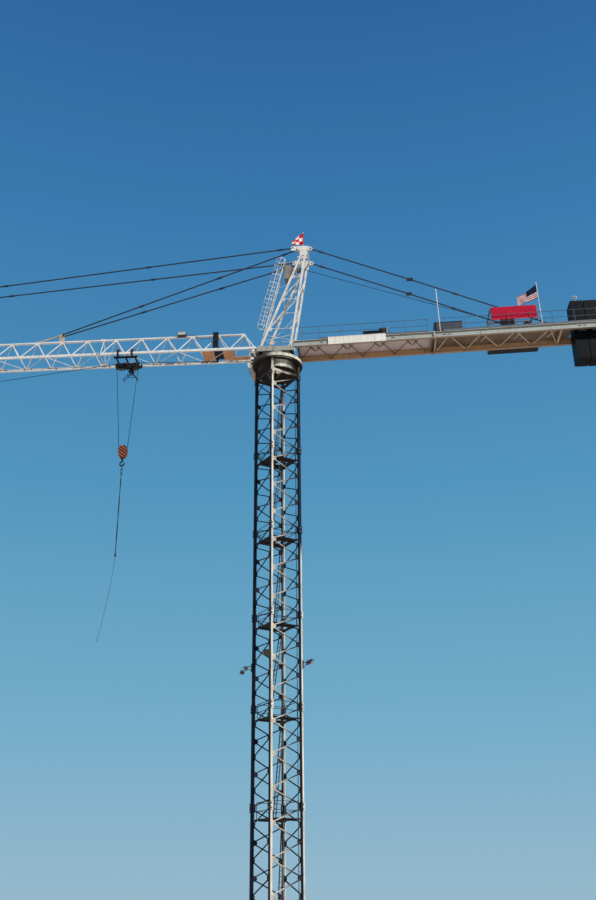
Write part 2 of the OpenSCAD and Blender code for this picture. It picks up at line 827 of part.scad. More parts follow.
// the travel winch and its tall cabinet, with an arm below its base that leads the rope off
module trolley_winch() {
    base_z = floor_top + seat;
    color(steel_dark) {
        block([winch_at - 46, -68, base_z], [winch_at + 54, trolley_rope_y + 3, base_z + 5]);
        block([winch_at - 24, -66, base_z + 4], [winch_at + 14, -34, top_z - 8]);
        along_y([winch_at, 2, base_z + 34], 56, 22, ROUND);
        for (y = [-26, 30])
            block([winch_at - 18, y - 3, base_z + 4], [winch_at + 18, y + 3, base_z + 44]);
        block([winch_at - 10, trolley_rope_y - 3, trolley_rope_z - 6],
              [winch_at + 4, trolley_rope_y + 3, base_z + 2]);
    }
}

// flat top of the top chord
chord_top = top_z + jib_top_d / 2 * cos(22.5) + 0.1;
inner_pin = [-joint_x(0) - 311, 0, top_z + 62];
outer_pin = [-joint_x(4) - 504, 0, top_z + 74];
lug_y = 14;

// a pair of tie bars from the apex to a bracket on the top chord, with an eye round each apex pin
module tie_pair(head_pin, pin) {
    for (s = [-1, 1]) {
        a = [head_pin[0], s * head_y, head_pin[2]];
        b = [pin[0], s * lug_y, pin[2]];
        u = (b - a) / norm(b - a);
        box_bar(a + u * 5, b - u * 2, 4, tie_w);
        difference() {
            along_y(a, 4.6, 8, 12);
            along_y(a, 6, pin_r + 0.5, 12);
        }
        along_y(b, 6, 7, 12);
    }
}

// the bracket: a lug on the chord with the pin, and a strap that runs down the chord
module tie_bracket(pin, run) {
    block([pin[0] - 29, -5, chord_top], [pin[0] + 8, 5, pin[2] + 8]);
    block([pin[0] - run - 12, -6, chord_top], [pin[0] - run + 14, 6, chord_top + 9]);
    box_bar([pin[0] - 20, 0, pin[2] + 2], [pin[0] - run, 0, chord_top + 6], 8, 8);
    translate([pin[0], 20, pin[2]])
        rotate([90, 11, 0])
            cylinder(h = 40, r = 4, $fn = 10);
}

module jib_inner_ties() {
    color(white) {
        tie_pair(pin_inner, inner_pin);
        tie_bracket(inner_pin, 175);
    }
}

module jib_outer_ties() {
    color(white) {
        tie_pair(pin_outer, outer_pin);
        tie_bracket(outer_pin, 120);
    }
}

// everything on the counter-jib is drawn level and then tipped by its rise
module on_counter_jib() {
    translate([plat_rear, 0, cj_z])
        rotate([0, -cj_rise, 0])
            children();
}

cj_tail = cj_joint + cj_rear_len;
cj_start = 0.6;
cj_len = cj_tail - plat_rear;
function cj(x) = x - plat_rear;
// panels of the cross bracing in both halves
front_panel = 237;
front_from = 157;
rear_panel = 318;
rear_from = cj_joint + 24;
beam_w = 8;

module i_girder(len) {
    block([0, -cj_flange / 2, 0], [len, cj_flange / 2, 4]);
    block([0, -cj_flange / 2, cj_depth - 4], [len, cj_flange / 2, cj_depth]);
    block([0, -2, 3], [len, 2, cj_depth - 3]);
}

module counter_jib() {
    inner = cj_y - 1;
    color(steel_grey)
        on_counter_jib() {
            for (s = [-1, 1]) {
                translate([cj_start, s * cj_y, 0])
                    i_girder(cj_len - cj_start);
                block([cj(cj_joint) - 6, s * cj_y - 14, -4], [cj(cj_joint) + 6, s * cj_y + 14, cj_depth + 4]);
            }
            for (i = [0:4])
                translate([cj(front_from + i * front_panel), 0, 0])
                    block([0, -inner, 8], [beam_w, inner, cj_depth - 4.6]);
            for (i = [0:3])
                translate([cj(rear_from + i * rear_panel), 0, 0])
                    block([0, -inner, 8], [beam_w, inner, cj_depth - 4.6]);
            block([cj_len - 24, -inner, 8], [cj_len - 16, inner, cj_depth - 4.6]);
            for (i = [0:2]) {
                x = cj(front_from + (i + 1) * front_panel);
                bar([x, inner, 14], [x + 115, -inner, 14], 8);
                bar([x + 55, -inner, 24], [x + 154, inner, 24], 8);
            }
            for (i = [0:2]) {
                x = cj(rear_from + i * rear_panel);
                bar([x + 60, -inner, 14], [x + 180, inner, 14], 6);
                bar([x + 180, inner, 22], [x + 300, -inner, 22], 6);
            }
        }
}

module deck_run(x0, x1, n) {
    deck = cj_y - cj_flange / 2 - seat;
    pitch = (x1 - x0) / n;
    for (i = [0:n - 1])
        block([cj(x0 + i * pitch) + 1.5, -deck, cj_depth - 4.3], [cj(x0 + (i + 1) * pitch) - 1.5, deck, cj_depth - seat]);
}

module counter_jib_floor() {
    color([0.5, 0.42, 0.32])
        on_counter_jib() {
            deck_run(front_from + 3, cj_joint - 10, 6);
            deck_run(cj_joint + 10, cj_tail - 350, 6);
        }
}

module rail_run(x0, x1, y, posts) {
    for (i = [0:posts]) {
        x = x0 + (x1 - x0) * i / posts;
        bar([x, y, cj_depth], [x, y, cj_depth + rail_h], 4);
    }
    for (h = [rail_h / 2, rail_h - 2])
        bar([x0, y, cj_depth + h], [x1, y, cj_depth + h], 4);
}

module counter_jib_rails() {
    color(steel_grey)
        on_counter_jib()
            for (s = [-1, 1]) {
                rail_run(cj(318), cj(cj_joint - 46), s * (cj_y + cj_flange / 2 - 3), 5);
                rail_run(cj(cj_joint + 70), cj(cj_tail - 20), s * (cj_y + cj_flange / 2 - 3), 8);
            }
}

// joint and lower end of the rear ties
tie_joint = [1000, 0, pin_rear[2] - 321];
tie_low = [1985, 0, cj_z + 114];
post_x = 1198;
post_d = 7;
// room between the post's top and the tie bar above it
post_gap = 9;
post_z = tie_joint[2] + (tie_low[2] - tie_joint[2]) * (post_x - tie_joint[0]) / (tie_low[0] - tie_joint[0]);
post_h = (post_z - post_gap - cj_z - cj(post_x) * sin(cj_rise)) / cos(cj_rise);

// one post under the near tie bar
module tie_post() {
    color(white)
        on_counter_jib() {
            bar([cj(post_x), -head_y, cj_depth + 2], [cj(post_x), -head_y, post_h], post_d);
            block([cj(post_x) - 8, -cj_y + 2, cj_depth], [cj(post_x) + 8, -head_y + 8, cj_depth + 5]);
        }
}

// the pair of tie bars from the apex to the counter-jib's rear
module counter_jib_ties() {
    color(white)
        for (s = [-1, 1]) {
            y = s * head_y;
            a = at_y(pin_rear, y);
            m = at_y(tie_joint, y);
            e = at_y(tie_low, y);
            u = (m - a) / norm(m - a);
            box_bar(a + u * 5, m, 4, tie_w);
            box_bar(m, e, 4, tie_w);
            difference() {
                along_y(a, 4.6, 8, 12);
                along_y(a, 6, pin_r + 0.5, 12);
            }
            block([m[0] - 24, y - 5, m[2] - 12], [m[0] + 24, y + 5, m[2] + 12]);
            on_counter_jib() {
                block([cj(e[0]) - 16, y - 5, cj_depth + 2], [cj(e[0]) + 12, y + 5, cj_depth + 30]);
                block([cj(e[0]) - 18, min(y - 8, s * (cj_y + 4)), cj_depth + 0.1],
                      [cj(e[0]) + 14, max(y + 8, s * (cj_y + 4)), cj_depth + 7]);
            }
        }
}

module name_board() {
    color([0.84, 0.84, 0.8])
        on_counter_jib()
            block([cj(380), -cj_y - cj_flange / 2 - 4, -4], [cj(800), -cj_y - cj_flange / 2 - seat, 58]);
}

frame_x0 = 1575;
frame_x1 = 1905;
frame_top = 228;
frame_y_out = cj_y - 4;

// the frame over the hoist winch
module winch_frame() {
    color(steel_grey)
        on_counter_jib()
            for (s = [-1, 1]) {
                for (x = [frame_x0, (frame_x0 + frame_x1) / 2, frame_x1])
                    block([cj(x) - 4, s * (frame_y_out - 4) - 4, cj_depth + seat],
                          [cj(x) + 4, s * (frame_y_out - 4) + 4, frame_top]);
                block([cj(frame_x0), s * (frame_y_out - 4) - 4, frame_top - 8],
                      [cj(frame_x1), s * (frame_y_out - 4) + 4, frame_top]);
                block([cj(s < 0 ? frame_x0 : frame_x1) - 4, -frame_y_out, frame_top - 8],
                      [cj(s < 0 ? frame_x0 : frame_x1) + 4, frame_y_out, frame_top]);
            }
}

module banner() {
    color([0.72, 0.13, 0.11])
        on_counter_jib()
            block([cj(frame_x0), -frame_y_out - 2, frame_top - 110],
                  [cj(frame_x1), -frame_y_out - seat, frame_top - 1]);
}

module control_boxes() {
    color(steel_grey)
        on_counter_jib() {
            block([cj(642), -50, cj_depth], [cj(760), 20, cj_depth + 82]);
            block([cj(761), -44, cj_depth], [cj(812), 14, cj_depth + 105]);
            block([cj(813), -40, cj_depth], [cj(830), -24, cj_depth + 112]);
            block([cj(1163), -60, cj_depth], [cj(1366), 40, cj_depth + 112]);
        }
}

// the rope drum of the hoist winch
drum_x = 1690;
drum_up = 60;
drum_rad = 38;

module hoist_winch() {
    color(steel_dark)
        on_counter_jib() {
            block([cj(1570), -80, cj_depth], [cj(1915), 80, cj_depth + 14]);
            along_y([cj(drum_x), 0, cj_depth + drum_up], 124, drum_rad, ROUND);
            for (s = [-1, 1])
                block([cj(drum_x) - 50, s * 66 - 5, cj_depth + 10], [cj(drum_x) + 50, s * 66 + 5, cj_depth + 104]);
            along_y([cj(1830), 0, cj_depth + 48], 84, 28, ROUND);
            block([cj(1800), -36, cj_depth + 10], [cj(1860), 36, cj_depth + 24]);
        }
}

module access_platform() {
    y0 = cj_y + cj_flange / 2 + seat;
    color([0.45, 0.36, 0.27])
        on_counter_jib() {
            block([cj(1560), y0, -2], [cj(1930), y0 + 56, 3]);
            for (x = [cj(1562), cj(1740), cj(1924)])
                bar([x, y0 + 53, 0], [x, y0 + 53, 108], 4);
            for (h = [56, 106])
                bar([cj(1560), y0 + 53, h], [cj(1928), y0 + 53, h], 4);
        }
}

pole_x = 1931;
pole_top = 417;
pole_d = 6;

module flag_pole() {
    color(white)
        on_counter_jib()
            translate([cj(pole_x), -cj_y, cj_depth + seat])
                cylinder(h = pole_top - cj_depth - seat, d = pole_d, $fn = 8);
}

module flag() {
    color([0.75, 0.2, 0.2])
        on_counter_jib()
            translate([cj(pole_x) - pole_d / 2 - seat, -cj_y + 1, pole_top])
                rotate([90, 0, 0])
                    linear_extrude(height = 2)
                        polygon([[0, -17], [0, -131], [-151, -191], [-153, -118]]);
}

slab_x = cj_tail - 344;
slab_low = cj_z + cj(slab_x) * sin(cj_rise) - slab_drop;

// slabs that hang between the girders from bars through their tops
module ballast_slabs() {
    color([0.13, 0.13, 0.14])
        for (i = [0:slab_count - 1]) {
            x = slab_x + i * (slab_t + slab_gap);
            block([x, -slab_w / 2, slab_low], [x + slab_t, slab_w / 2, slab_low + slab_h]);
            on_counter_jib()
                block([cj(x + slab_t / 2 - 12), -cj_y - 4, cj_depth + seat],
                      [cj(x + slab_t / 2 + 12), cj_y + 4, cj_depth + 18]);
        }
}

// middle of the trolley and its two sheaves
sheave_z = jib_z - 59;
sheave_out = -trolley_x - 51;
sheave_in = -trolley_x + 51;
run_z = sheave_z + sheave_r + rope_d / 2 + seat;
// the hoist rope's sag between the trolley and the jib tip
rope_sag = 300;
rope_run = [for (i = [0:16]) i / 16];
tip_run = [tip_sheave[0], 0, tip_sheave[2] - tip_sheave_r - rope_d / 2 - seat];

module rope_path(points, d) {
    for (i = [0:len(points) - 2])
        bar(points[i], points[i + 1], d);
}

// out from the trolley in one long sag, and in from it to the sheave at the jib's foot
module hoist_rope() {
    a = [sheave_out, 0, run_z];
    outer = [for (t = rope_run) between(a, tip_run, t) - [0, 0, 4 * rope_sag * t * (1 - t)]];
    foot = foot_sheave + [0, 0, -foot_sheave_r - rope_d / 2 - seat];
    color(rope_black) {
        rope_path(outer, rope_d);
        bar([sheave_in, 0, run_z], foot, rope_d);
    }
}

// the hoist rope from the winch drum over the head sheave and down to the jib's foot
module head_rope() {
    off = rope_d / 2 + seat;
    drum = [plat_rear + cj(drum_x) * cos(cj_rise) - (cj_depth + drum_up) * sin(cj_rise), 0,
            cj_z + cj(drum_x) * sin(cj_rise) + (cj_depth + drum_up) * cos(cj_rise)];
    back = atan2(sheave_at[2] - drum[2], drum[0] - sheave_at[0]);
    down = atan2(sheave_at[2] - foot_sheave[2], sheave_at[0] - foot_sheave[0]);
    n = [sin(back), 0, cos(back)];
    m = [-sin(down), 0, cos(down)];
    color(rope_black) {
        bar(drum + n * (drum_rad + off), sheave_at + n * (head_sheave_r + off), rope_d);
        bar(sheave_at + m * (head_sheave_r + off), foot_sheave - m * (foot_sheave_r + off), rope_d);
    }
}

frame_half = 88;

module trolley_rope() {
    reach = frame_half + 6;
    color(rope_black) {
        bar([-jib_tip + tip_frame + seat, trolley_rope_y, trolley_rope_z],
            [-trolley_x - reach - seat, trolley_rope_y, trolley_rope_z], rope_d);
        bar([-trolley_x + reach + seat, trolley_rope_y, trolley_rope_z],
            [winch_at - 10 - seat, trolley_rope_y, trolley_rope_z], rope_d);
    }
}

// running room between the trolley and the jib
run_gap = 5.5;
beam_in = 74;
beam_out = 84;
beam_top = jib_z - jib_chord / 2 - 8;
beam_low = beam_top - 14;
bracket_y = jib_y + jib_chord / 2 + run_gap;
wheel_x = [-52, 52];
cheek_y = 14;

// the carriage: wheels on the chords, brackets round the chords, and a frame below them
module trolley_frame() {
    top = jib_z + jib_chord / 2;
    wheel_z = top + wheel_r + seat;
    color(steel_dark)
        translate([-trolley_x, 0, 0]) {
            for (s = [-1, 1]) {
                block([-frame_half, s * (beam_in + beam_out) / 2 - 5, beam_low],
                      [frame_half, s * (beam_in + beam_out) / 2 + 5, beam_top]);
                for (x = wheel_x) {
                    along_y([x, s * (jib_y + 4), wheel_z], 7, wheel_r, 24);
                    along_y([x, s * (bracket_y - 3), wheel_z], 16, pin_r, 16);
                    block([x - 6, s * (bracket_y + 2) - 2, beam_low + 2],
                          [x + 6, s * (bracket_y + 2) + 2, wheel_z + 6]);
                    block([x - 6, min(s * (beam_in + 4), s * (bracket_y + 1)), beam_low + 3],
                          [x + 6, max(s * (beam_in + 4), s * (bracket_y + 1)), beam_top - 2]);
                }
                // lugs for the travel rope
                block([s * frame_half - 6, trolley_rope_y - 4, beam_low + 1],
                      [s * frame_half + 6, beam_in + 2, trolley_rope_z + 4]);
                // cheeks beside the sheaves, and their hangers
                block([-89, s * cheek_y - 2, sheave_z - 13], [89, s * cheek_y + 2, sheave_z + 21]);
                for (x = [-70, 0, 70])
                    block([x - 6, s * cheek_y - 2, sheave_z + 12], [x + 6, s * cheek_y + 2, beam_top - 4]);
                // the post below the cheeks, with its struts and legs
                block([17, s * cheek_y - 2, sheave_z - 60], [45, s * cheek_y + 2, sheave_z - 10]);
                bar([-10, s * cheek_y, sheave_z - 12], [24, s * cheek_y, sheave_z - 56], 4);
                bar([72, s * cheek_y, sheave_z - 12], [38, s * cheek_y, sheave_z - 56], 4);
                bar([26, s * cheek_y, sheave_z - 52], [-23, s * cheek_y, sheave_z - 116], 5);
                bar([36, s * cheek_y, sheave_z - 52], [85, s * cheek_y, sheave_z - 116], 5);
                bar([-2, s * cheek_y, sheave_z - 84], [64, s * cheek_y, sheave_z - 84], 4);
            }
            for (x = [-70, 0, 70])
                block([x - 5, -beam_in - 1, beam_low + 3], [x + 5, beam_in + 1, beam_top - 2]);
            for (x = [-23, 85])
                bar([x, -cheek_y, sheave_z - 115], [x, cheek_y, sheave_z - 115], 5);
            for (x = [-51, 51])
                along_y([x, 0, sheave_z], 36, 4, 24);
        }
}

module trolley_sheaves() {
    width = 20 - 2 * seat;
    color(rope_black)
        for (x = [sheave_out, sheave_in])
            difference() {
                along_y([x, 0, sheave_z], width, sheave_r, ROUND);
                for (s = [-1, 1])
                    difference() {
                        along_y([x, s * 8, sheave_z], 8, sheave_r + 1, ROUND);
                        along_y([x, s * 8, sheave_z], 10, 12, ROUND);
                    }
                along_y([x, 0, sheave_z], 24, 4.3, 24);
            }
}

block_sheave_r = block_w / 2 - 4;
block_sheave_z = block_z - 52;

module rope_falls() {
    color(rope_black) {
        bar([sheave_out - sheave_r - rope_d / 2 - seat, 0, sheave_z],
            [-hook_x - block_sheave_r - rope_d / 2 - seat, 0, block_sheave_z], rope_d);
        bar([sheave_in + sheave_r + rope_d / 2 + seat, 0, sheave_z],
            [-hook_x + block_sheave_r + rope_d / 2 + seat, 0, block_sheave_z], rope_d);
    }
}

// two cheek plates with the sheave between them
module hook_block() {
    hw = block_w / 2;
    zb = block_z - block_h;
    color([0.62, 0.33, 0.14]) {
        for (s = [-1, 1])
            translate([-hook_x, s * (block_t / 2 - 2) + 2, 0])
                rotate([90, 0, 0])
                    linear_extrude(height = 4)
                        polygon([[-hw * 0.62, block_z - 14], [hw * 0.62, block_z - 14], [hw, block_z - 40],
                                 [hw, zb + 30], [hw * 0.6, zb], [-hw * 0.6, zb], [-hw, zb + 30],
                                 [-hw, block_z - 40]]);
        block([-hook_x - 16, -block_t / 2 + 1, zb], [-hook_x + 16, block_t / 2 - 1, zb + 14]);
        translate([-hook_x, 6, block_sheave_z])
            rotate([90, 0, 0])
                cylinder(h = 12, r = block_sheave_r, $fn = ROUND);
        translate([-hook_x, block_t / 2 + 2, block_sheave_z])
            rotate([90, 0, 0])
                cylinder(h = block_t + 4, r = 5, $fn = 24);
    }
}

hook_top = block_z - block_h;
hook_ring_r = 15;
hook_wire = 4.5;
hook_ring_z = hook_top - 48;

// the shank below the block and the open hook on it
module hook() {
    color(steel_dark) {
        translate([-hook_x, 0, hook_top - 30])
            cylinder(h = 30 - seat, r = 7, $fn = ROUND);
        translate([-hook_x, 0, hook_ring_z])
            rotate([90, 0, 0])
                rotate([0, 0, 90])
                    rotate_extrude(angle = 290, $fn = ROUND)
                        translate([hook_ring_r, 0])
                            circle(r = hook_wire, $fn = 16);
        translate([-hook_x, 0, hook_ring_z + hook_ring_r - 1])
            cylinder(h = 12, r = 5, $fn = 24);
    }
}

link_wire = 3.6;

// a chain link whose top and bottom wire centres lie at z1 and z0
module chain_link(z1, z0, w) {
    r = w / 2;
    translate([-hook_x, 0, 0]) {
        for (e = [[z1 - r, 0], [z0 + r, 180]])
            translate([0, 0, e[0]])
                rotate([90, e[1], 0])
                    rotate_extrude(angle = 180, $fn = 32)
                        translate([r, 0])
                            circle(d = link_wire, $fn = 16);
        for (s = [-1, 1])
            translate([s * r, 0, z0 + r])
                cylinder(h = z1 - z0 - 2 * r, d = link_wire, $fn = 16);
    }
}

module turned(a) {
    translate([-hook_x, 0, 0])
        rotate([0, 0, a])
            translate([hook_x, 0, 0])
                children();
}

link_step = link_wire + seat;
link_top = hook_ring_z - hook_ring_r + hook_wire + link_wire / 2 + seat;
link_lows = [link_top - 36, link_top - 62, link_top - 86];
sling_end = 2380;

// links in the hook, then the sling with a fitting at its lower end
module sling() {
    color(rope_black) {
        turned(90)
            chain_link(link_top, link_lows[0], 24);
        chain_link(link_lows[0] + link_step, link_lows[1], 14);
        turned(90)
            chain_link(link_lows[1] + link_step, link_lows[2], 18);
        bar([-hook_x, 0, link_lows[2] + link_wire / 2 - 1], [-hook_x, 0, sling_end + 8], 3);
        translate([-hook_x - 5, -5, sling_end - 8])
            cube([10, 10, 16]);
    }
}

// a tube of eight sides swept along a list of points
function unit(v) = v / norm(v);
function heading(p, i) = unit(p[min(i + 1, len(p) - 1)] - p[max(i - 1, 0)]);
function tube_ring(c, t, r, n) = let (u = unit(cross([0, 1, 0], t)), v = cross(t, u))
    [for (k = [0:n - 1]) c + r * (cos(360 * k / n) * u + sin(360 * k / n) * v)];

module swept_tube(p, d) {
    n = 8;
    rings = [for (i = [0:len(p) - 1]) each tube_ring(p[i], heading(p, i), d / 2, n)];
    last = len(p) - 1;
    sides = [for (i = [0:last - 1], k = [0:n - 1])
        [i * n + k, i * n + (k + 1) % n, (i + 1) * n + (k + 1) % n, (i + 1) * n + k]];
    polyhedron(points = rings,
               faces = concat([[for (k = [n - 1:-1:0]) k]], sides, [[for (k = [0:n - 1]) last * n + k]]));
}

// the light line that the wind holds a little aside
tag_route = [
    [-1105, 0, 2371.7], [-1105, 0, 2360], [-1107, 1, 2330], [-1110, 1, 2290], [-1115, 2, 2240],
    [-1121, 2, 2190], [-1128, 3, 2140], [-1135, 3, 2090], [-1142, 3, 2040], [-1150, 2, 1990],
    [-1158, 2, 1940], [-1166, 1, 1890], [-1175, 1, 1845], [-1182, 0, 1815], [-1187, 0, 1793]
];

module tag_line() {
    color(rope_black)
        swept_tube(tag_route, 2);
}

base_frame();
mast_section_1();
mast_section_2();
mast_section_3();
mast_section_4();
mast_section_5();
mast_section_6();
mast_landings();
mast_ladders();
mast_cable();
work_lights();
mast_neck();
round_walkway();
slewing_ring();
slewing_platform();
operator_cab();
cab_glass();
head_side_frames();
head_bracing();
apex_beam();
head_ladder();
head_basket();
pennant_pole();
pennant();
jib_section_1();
jib_section_2();
jib_section_3();
jib_section_4();
jib_section_5();
jib_section_6();
jib_section_7();
jib_floor();
trolley_winch();
jib_inner_ties();
jib_outer_ties();
counter_jib();
counter_jib_floor();
counter_jib_rails();
tie_post();
counter_jib_ties();
name_board();
winch_frame();
banner();
control_boxes();
hoist_winch();
access_platform();
flag_pole();
flag();
ballast_slabs();
hoist_rope();
trolley_rope();
trolley_frame();
trolley_sheaves();
rope_falls();
hook_block();
hook();
sling();
tag_line();
head_rope();
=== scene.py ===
from math import atan2, copysign, cos, hypot, pi, radians, sin

import bmesh
import bpy
from mathutils import Matrix, Vector


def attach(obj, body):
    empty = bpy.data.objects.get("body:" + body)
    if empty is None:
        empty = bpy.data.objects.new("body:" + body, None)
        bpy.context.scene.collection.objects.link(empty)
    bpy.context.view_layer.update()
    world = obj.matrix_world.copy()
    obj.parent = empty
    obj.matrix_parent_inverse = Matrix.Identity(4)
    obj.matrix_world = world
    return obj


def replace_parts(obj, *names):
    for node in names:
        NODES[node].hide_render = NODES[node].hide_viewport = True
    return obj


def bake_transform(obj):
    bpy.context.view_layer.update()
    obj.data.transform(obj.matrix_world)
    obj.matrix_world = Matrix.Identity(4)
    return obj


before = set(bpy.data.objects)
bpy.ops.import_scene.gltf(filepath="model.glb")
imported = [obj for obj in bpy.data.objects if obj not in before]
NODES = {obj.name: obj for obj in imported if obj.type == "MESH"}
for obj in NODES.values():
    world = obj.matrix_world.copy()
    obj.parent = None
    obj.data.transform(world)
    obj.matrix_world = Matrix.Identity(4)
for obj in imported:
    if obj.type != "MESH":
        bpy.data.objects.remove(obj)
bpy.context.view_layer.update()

# The stage: a pale floor, a clear blue sky, one broad sun high at the right of the camera
# and a soft fill. The camera stands on the ground and looks up at the crane's head.
EYE = Vector((0.542, -6.285, 0.16))
HEADING, PITCH, ROLL = radians(3.61), radians(25.19), radians(0.52)
FOCAL_PX = 989.0
FRAME_HEIGHT_PX = 900.0
SENSOR = 36.0
SUN_FROM = Vector((0.62, -0.8, 0.98))
SUN_POWER = 3.7
FILL_POWER = 0.2
SKY_BANDS = [
    (0.02, (0.3, 0.48, 0.6)), (0.16, (0.18, 0.42, 0.59)), (0.39, (0.085, 0.3, 0.51)),
    (0.6, (0.045, 0.2, 0.43)), (0.76, (0.028, 0.13, 0.335)),
]
FLOOR = 40.0
FLOOR_Z = -0.002
scene = bpy.context.scene
scene.view_settings.view_transform = "Standard"


def new_object(name, data):
    obj = bpy.data.objects.new(name, data)
    scene.collection.objects.link(obj)
    return obj


look = Vector((-sin(HEADING) * cos(PITCH), cos(HEADING) * cos(PITCH), sin(PITCH)))
level_right = look.cross(Vector((0, 0, 1))).normalized()
level_up = level_right.cross(look)
right = level_right * cos(ROLL) - level_up * sin(ROLL)
up = level_right * sin(ROLL) + level_up * cos(ROLL)
camera_data = bpy.data.cameras.new("camera")
camera_data.sensor_width = SENSOR
camera_data.lens = FOCAL_PX / FRAME_HEIGHT_PX * SENSOR
camera_data.clip_end = 200.0
camera = new_object("camera", camera_data)
camera.matrix_world = Matrix.Translation(EYE) @ Matrix((right, up, -look)).transposed().to_4x4()
scene.camera = camera

sun_data = bpy.data.lights.new("key_light", "SUN")
sun_data.energy = SUN_POWER
sun_data.angle = radians(3)
sun_data.color = (1.0, 0.96, 0.9)
new_object("key_light", sun_data).matrix_world = SUN_FROM.to_track_quat("Z", "Y").to_matrix().to_4x4()


# A node's inputs are filled in order or by name: a socket is linked, any other value is set.
def fill(tree, socket, source):
    if isinstance(source, bpy.types.NodeSocket):
        tree.links.new(source, socket)
    elif socket.type == "RGBA" and len(source) == 3:
        socket.default_value = (*source, 1)
    else:
        socket.default_value = source


def add(tree, kind, *sources, **settings):
    node = tree.nodes.new(kind)
    for key, value in settings.items():
        if hasattr(node, key):
            setattr(node, key, value)
        else:
            fill(tree, node.inputs[key.replace("_", " ")], value)
    for socket, source in zip(node.inputs, sources):
        fill(tree, socket, source)
    return node


def maths(tree, operation, *values):
    return add(tree, "ShaderNodeMath", *values, operation=operation).outputs[0]


# The seen sky pales from a deep blue high up to a soft haze low down. The fill that lights
# the crane is even.
world = bpy.data.worlds.new("sky")
scene.world = world
world.use_nodes = True
sky = world.node_tree
sky.nodes.clear()
sky_height = add(sky, "ShaderNodeSeparateXYZ", add(sky, "ShaderNodeTexCoord").outputs["Generated"]).outputs[2]
sky_shade = add(sky, "ShaderNodeValToRGB", sky_height)
while len(sky_shade.color_ramp.elements) < len(SKY_BANDS):
    sky_shade.color_ramp.elements.new(0.5)
for stop, (height, shade) in zip(sky_shade.color_ramp.elements, SKY_BANDS):
    stop.position = height
    stop.color = (*shade, 1)
rays = add(sky, "ShaderNodeLightPath").outputs
direct = maths(sky, "MAXIMUM", rays["Is Camera Ray"], rays["Is Glossy Ray"])
seen = maths(sky, "MAXIMUM", direct, rays["Is Transmission Ray"])
sky_fill = add(sky, "ShaderNodeBackground", (0.6, 0.74, 1.0), FILL_POWER).outputs[0]
sky_seen = add(sky, "ShaderNodeBackground", sky_shade.outputs[0]).outputs[0]
sky_mix = add(sky, "ShaderNodeMixShader", seen, sky_fill, sky_seen)
add(sky, "ShaderNodeOutputWorld", sky_mix.outputs[0])


def new_material(name, **settings):
    material = bpy.data.materials.new(name)
    material.use_nodes = True
    tree = material.node_tree
    shader = tree.nodes["Principled BSDF"]
    for key, value in settings.items():
        fill(tree, shader.inputs[key.replace("_", " ")], value)
    return material, tree, shader.inputs


def mesh_object(name, verts, faces, material=None, uvs=None):
    data = bpy.data.meshes.new(name)
    data.from_pydata([tuple(v) for v in verts], [], faces)
    if uvs is not None:
        layer = data.uv_layers.new(name="UVMap")
        for loop, uv in zip(layer.data, uvs):
            loop.uv = uv
    data.update()
    if material is not None:
        data.materials.append(material)
    return new_object(name, data)


floor_paint, _, _ = new_material("floor_pale", Base_Color=(0.62, 0.6, 0.57), Roughness=0.9)
floor_corners = [(x * FLOOR, y * FLOOR, FLOOR_Z) for x, y in ((-1, -1), (1, -1), (1, 1), (-1, 1))]
mesh_object("floor", floor_corners, [(0, 1, 2, 3)], floor_paint)


# The ropes: steel strands laid in a helix round a core and black with grease. Each is one
# swept tube whose own map runs round it and along it, so the strands follow the rope.
def group(name, inputs, outputs):
    tree = bpy.data.node_groups.new(name, "ShaderNodeTree")
    for label, value in inputs.items():
        kind = "NodeSocketFloat" if isinstance(value, float) else "NodeSocketColor"
        tree.interface.new_socket(label, in_out="INPUT", socket_type=kind).default_value = value
    for label in outputs:
        kind = "NodeSocketColor" if label == "Color" else "NodeSocketFloat"
        tree.interface.new_socket(label, in_out="OUTPUT", socket_type=kind)
    return tree, add(tree, "NodeGroupInput").outputs, add(tree, "NodeGroupOutput").inputs


def strand_group():
    tree, inside, outside = group("strands", {"Strands": 6.0, "Lay": 0.02}, ["Height", "Soil"])
    place = add(tree, "ShaderNodeUVMap").outputs[0]
    parts = add(tree, "ShaderNodeSeparateXYZ", place).outputs
    around = maths(tree, "MULTIPLY", parts[0], inside["Strands"])
    along = maths(tree, "DIVIDE", parts[1], inside["Lay"])
    turn = maths(tree, "MULTIPLY", maths(tree, "ADD", around, along), pi)
    fill(tree, outside["Height"], maths(tree, "ABSOLUTE", maths(tree, "SINE", turn)))
    soil = add(tree, "ShaderNodeTexNoise", place, Scale=60.0, Detail=3.0)
    fill(tree, outside["Soil"], soil.outputs["Fac"])
    return tree


STRANDS = strand_group()


def mixed(tree, factor, low, high):
    mix = add(tree, "ShaderNodeMix", factor, data_type="RGBA")
    fill(tree, mix.inputs[6], low)
    fill(tree, mix.inputs[7], high)
    return mix.outputs[2]


def relief(tree, height, strength, distance):
    return add(tree, "ShaderNodeBump", Height=height, Strength=strength, Distance=distance).outputs[0]


def rope_material(name, ridge, groove, lay, roughness):
    material, tree, shader = new_material(name, Roughness=roughness, Specular_IOR_Level=0.15)
    strand = add(tree, "ShaderNodeGroup", node_tree=STRANDS, Lay=lay).outputs
    shade = maths(tree, "MULTIPLY", strand["Height"], strand["Soil"])
    fill(tree, shader["Base Color"], mixed(tree, shade, groove, ridge))
    fill(tree, shader["Normal"], relief(tree, strand["Height"], 0.6, 0.0004))
    return material


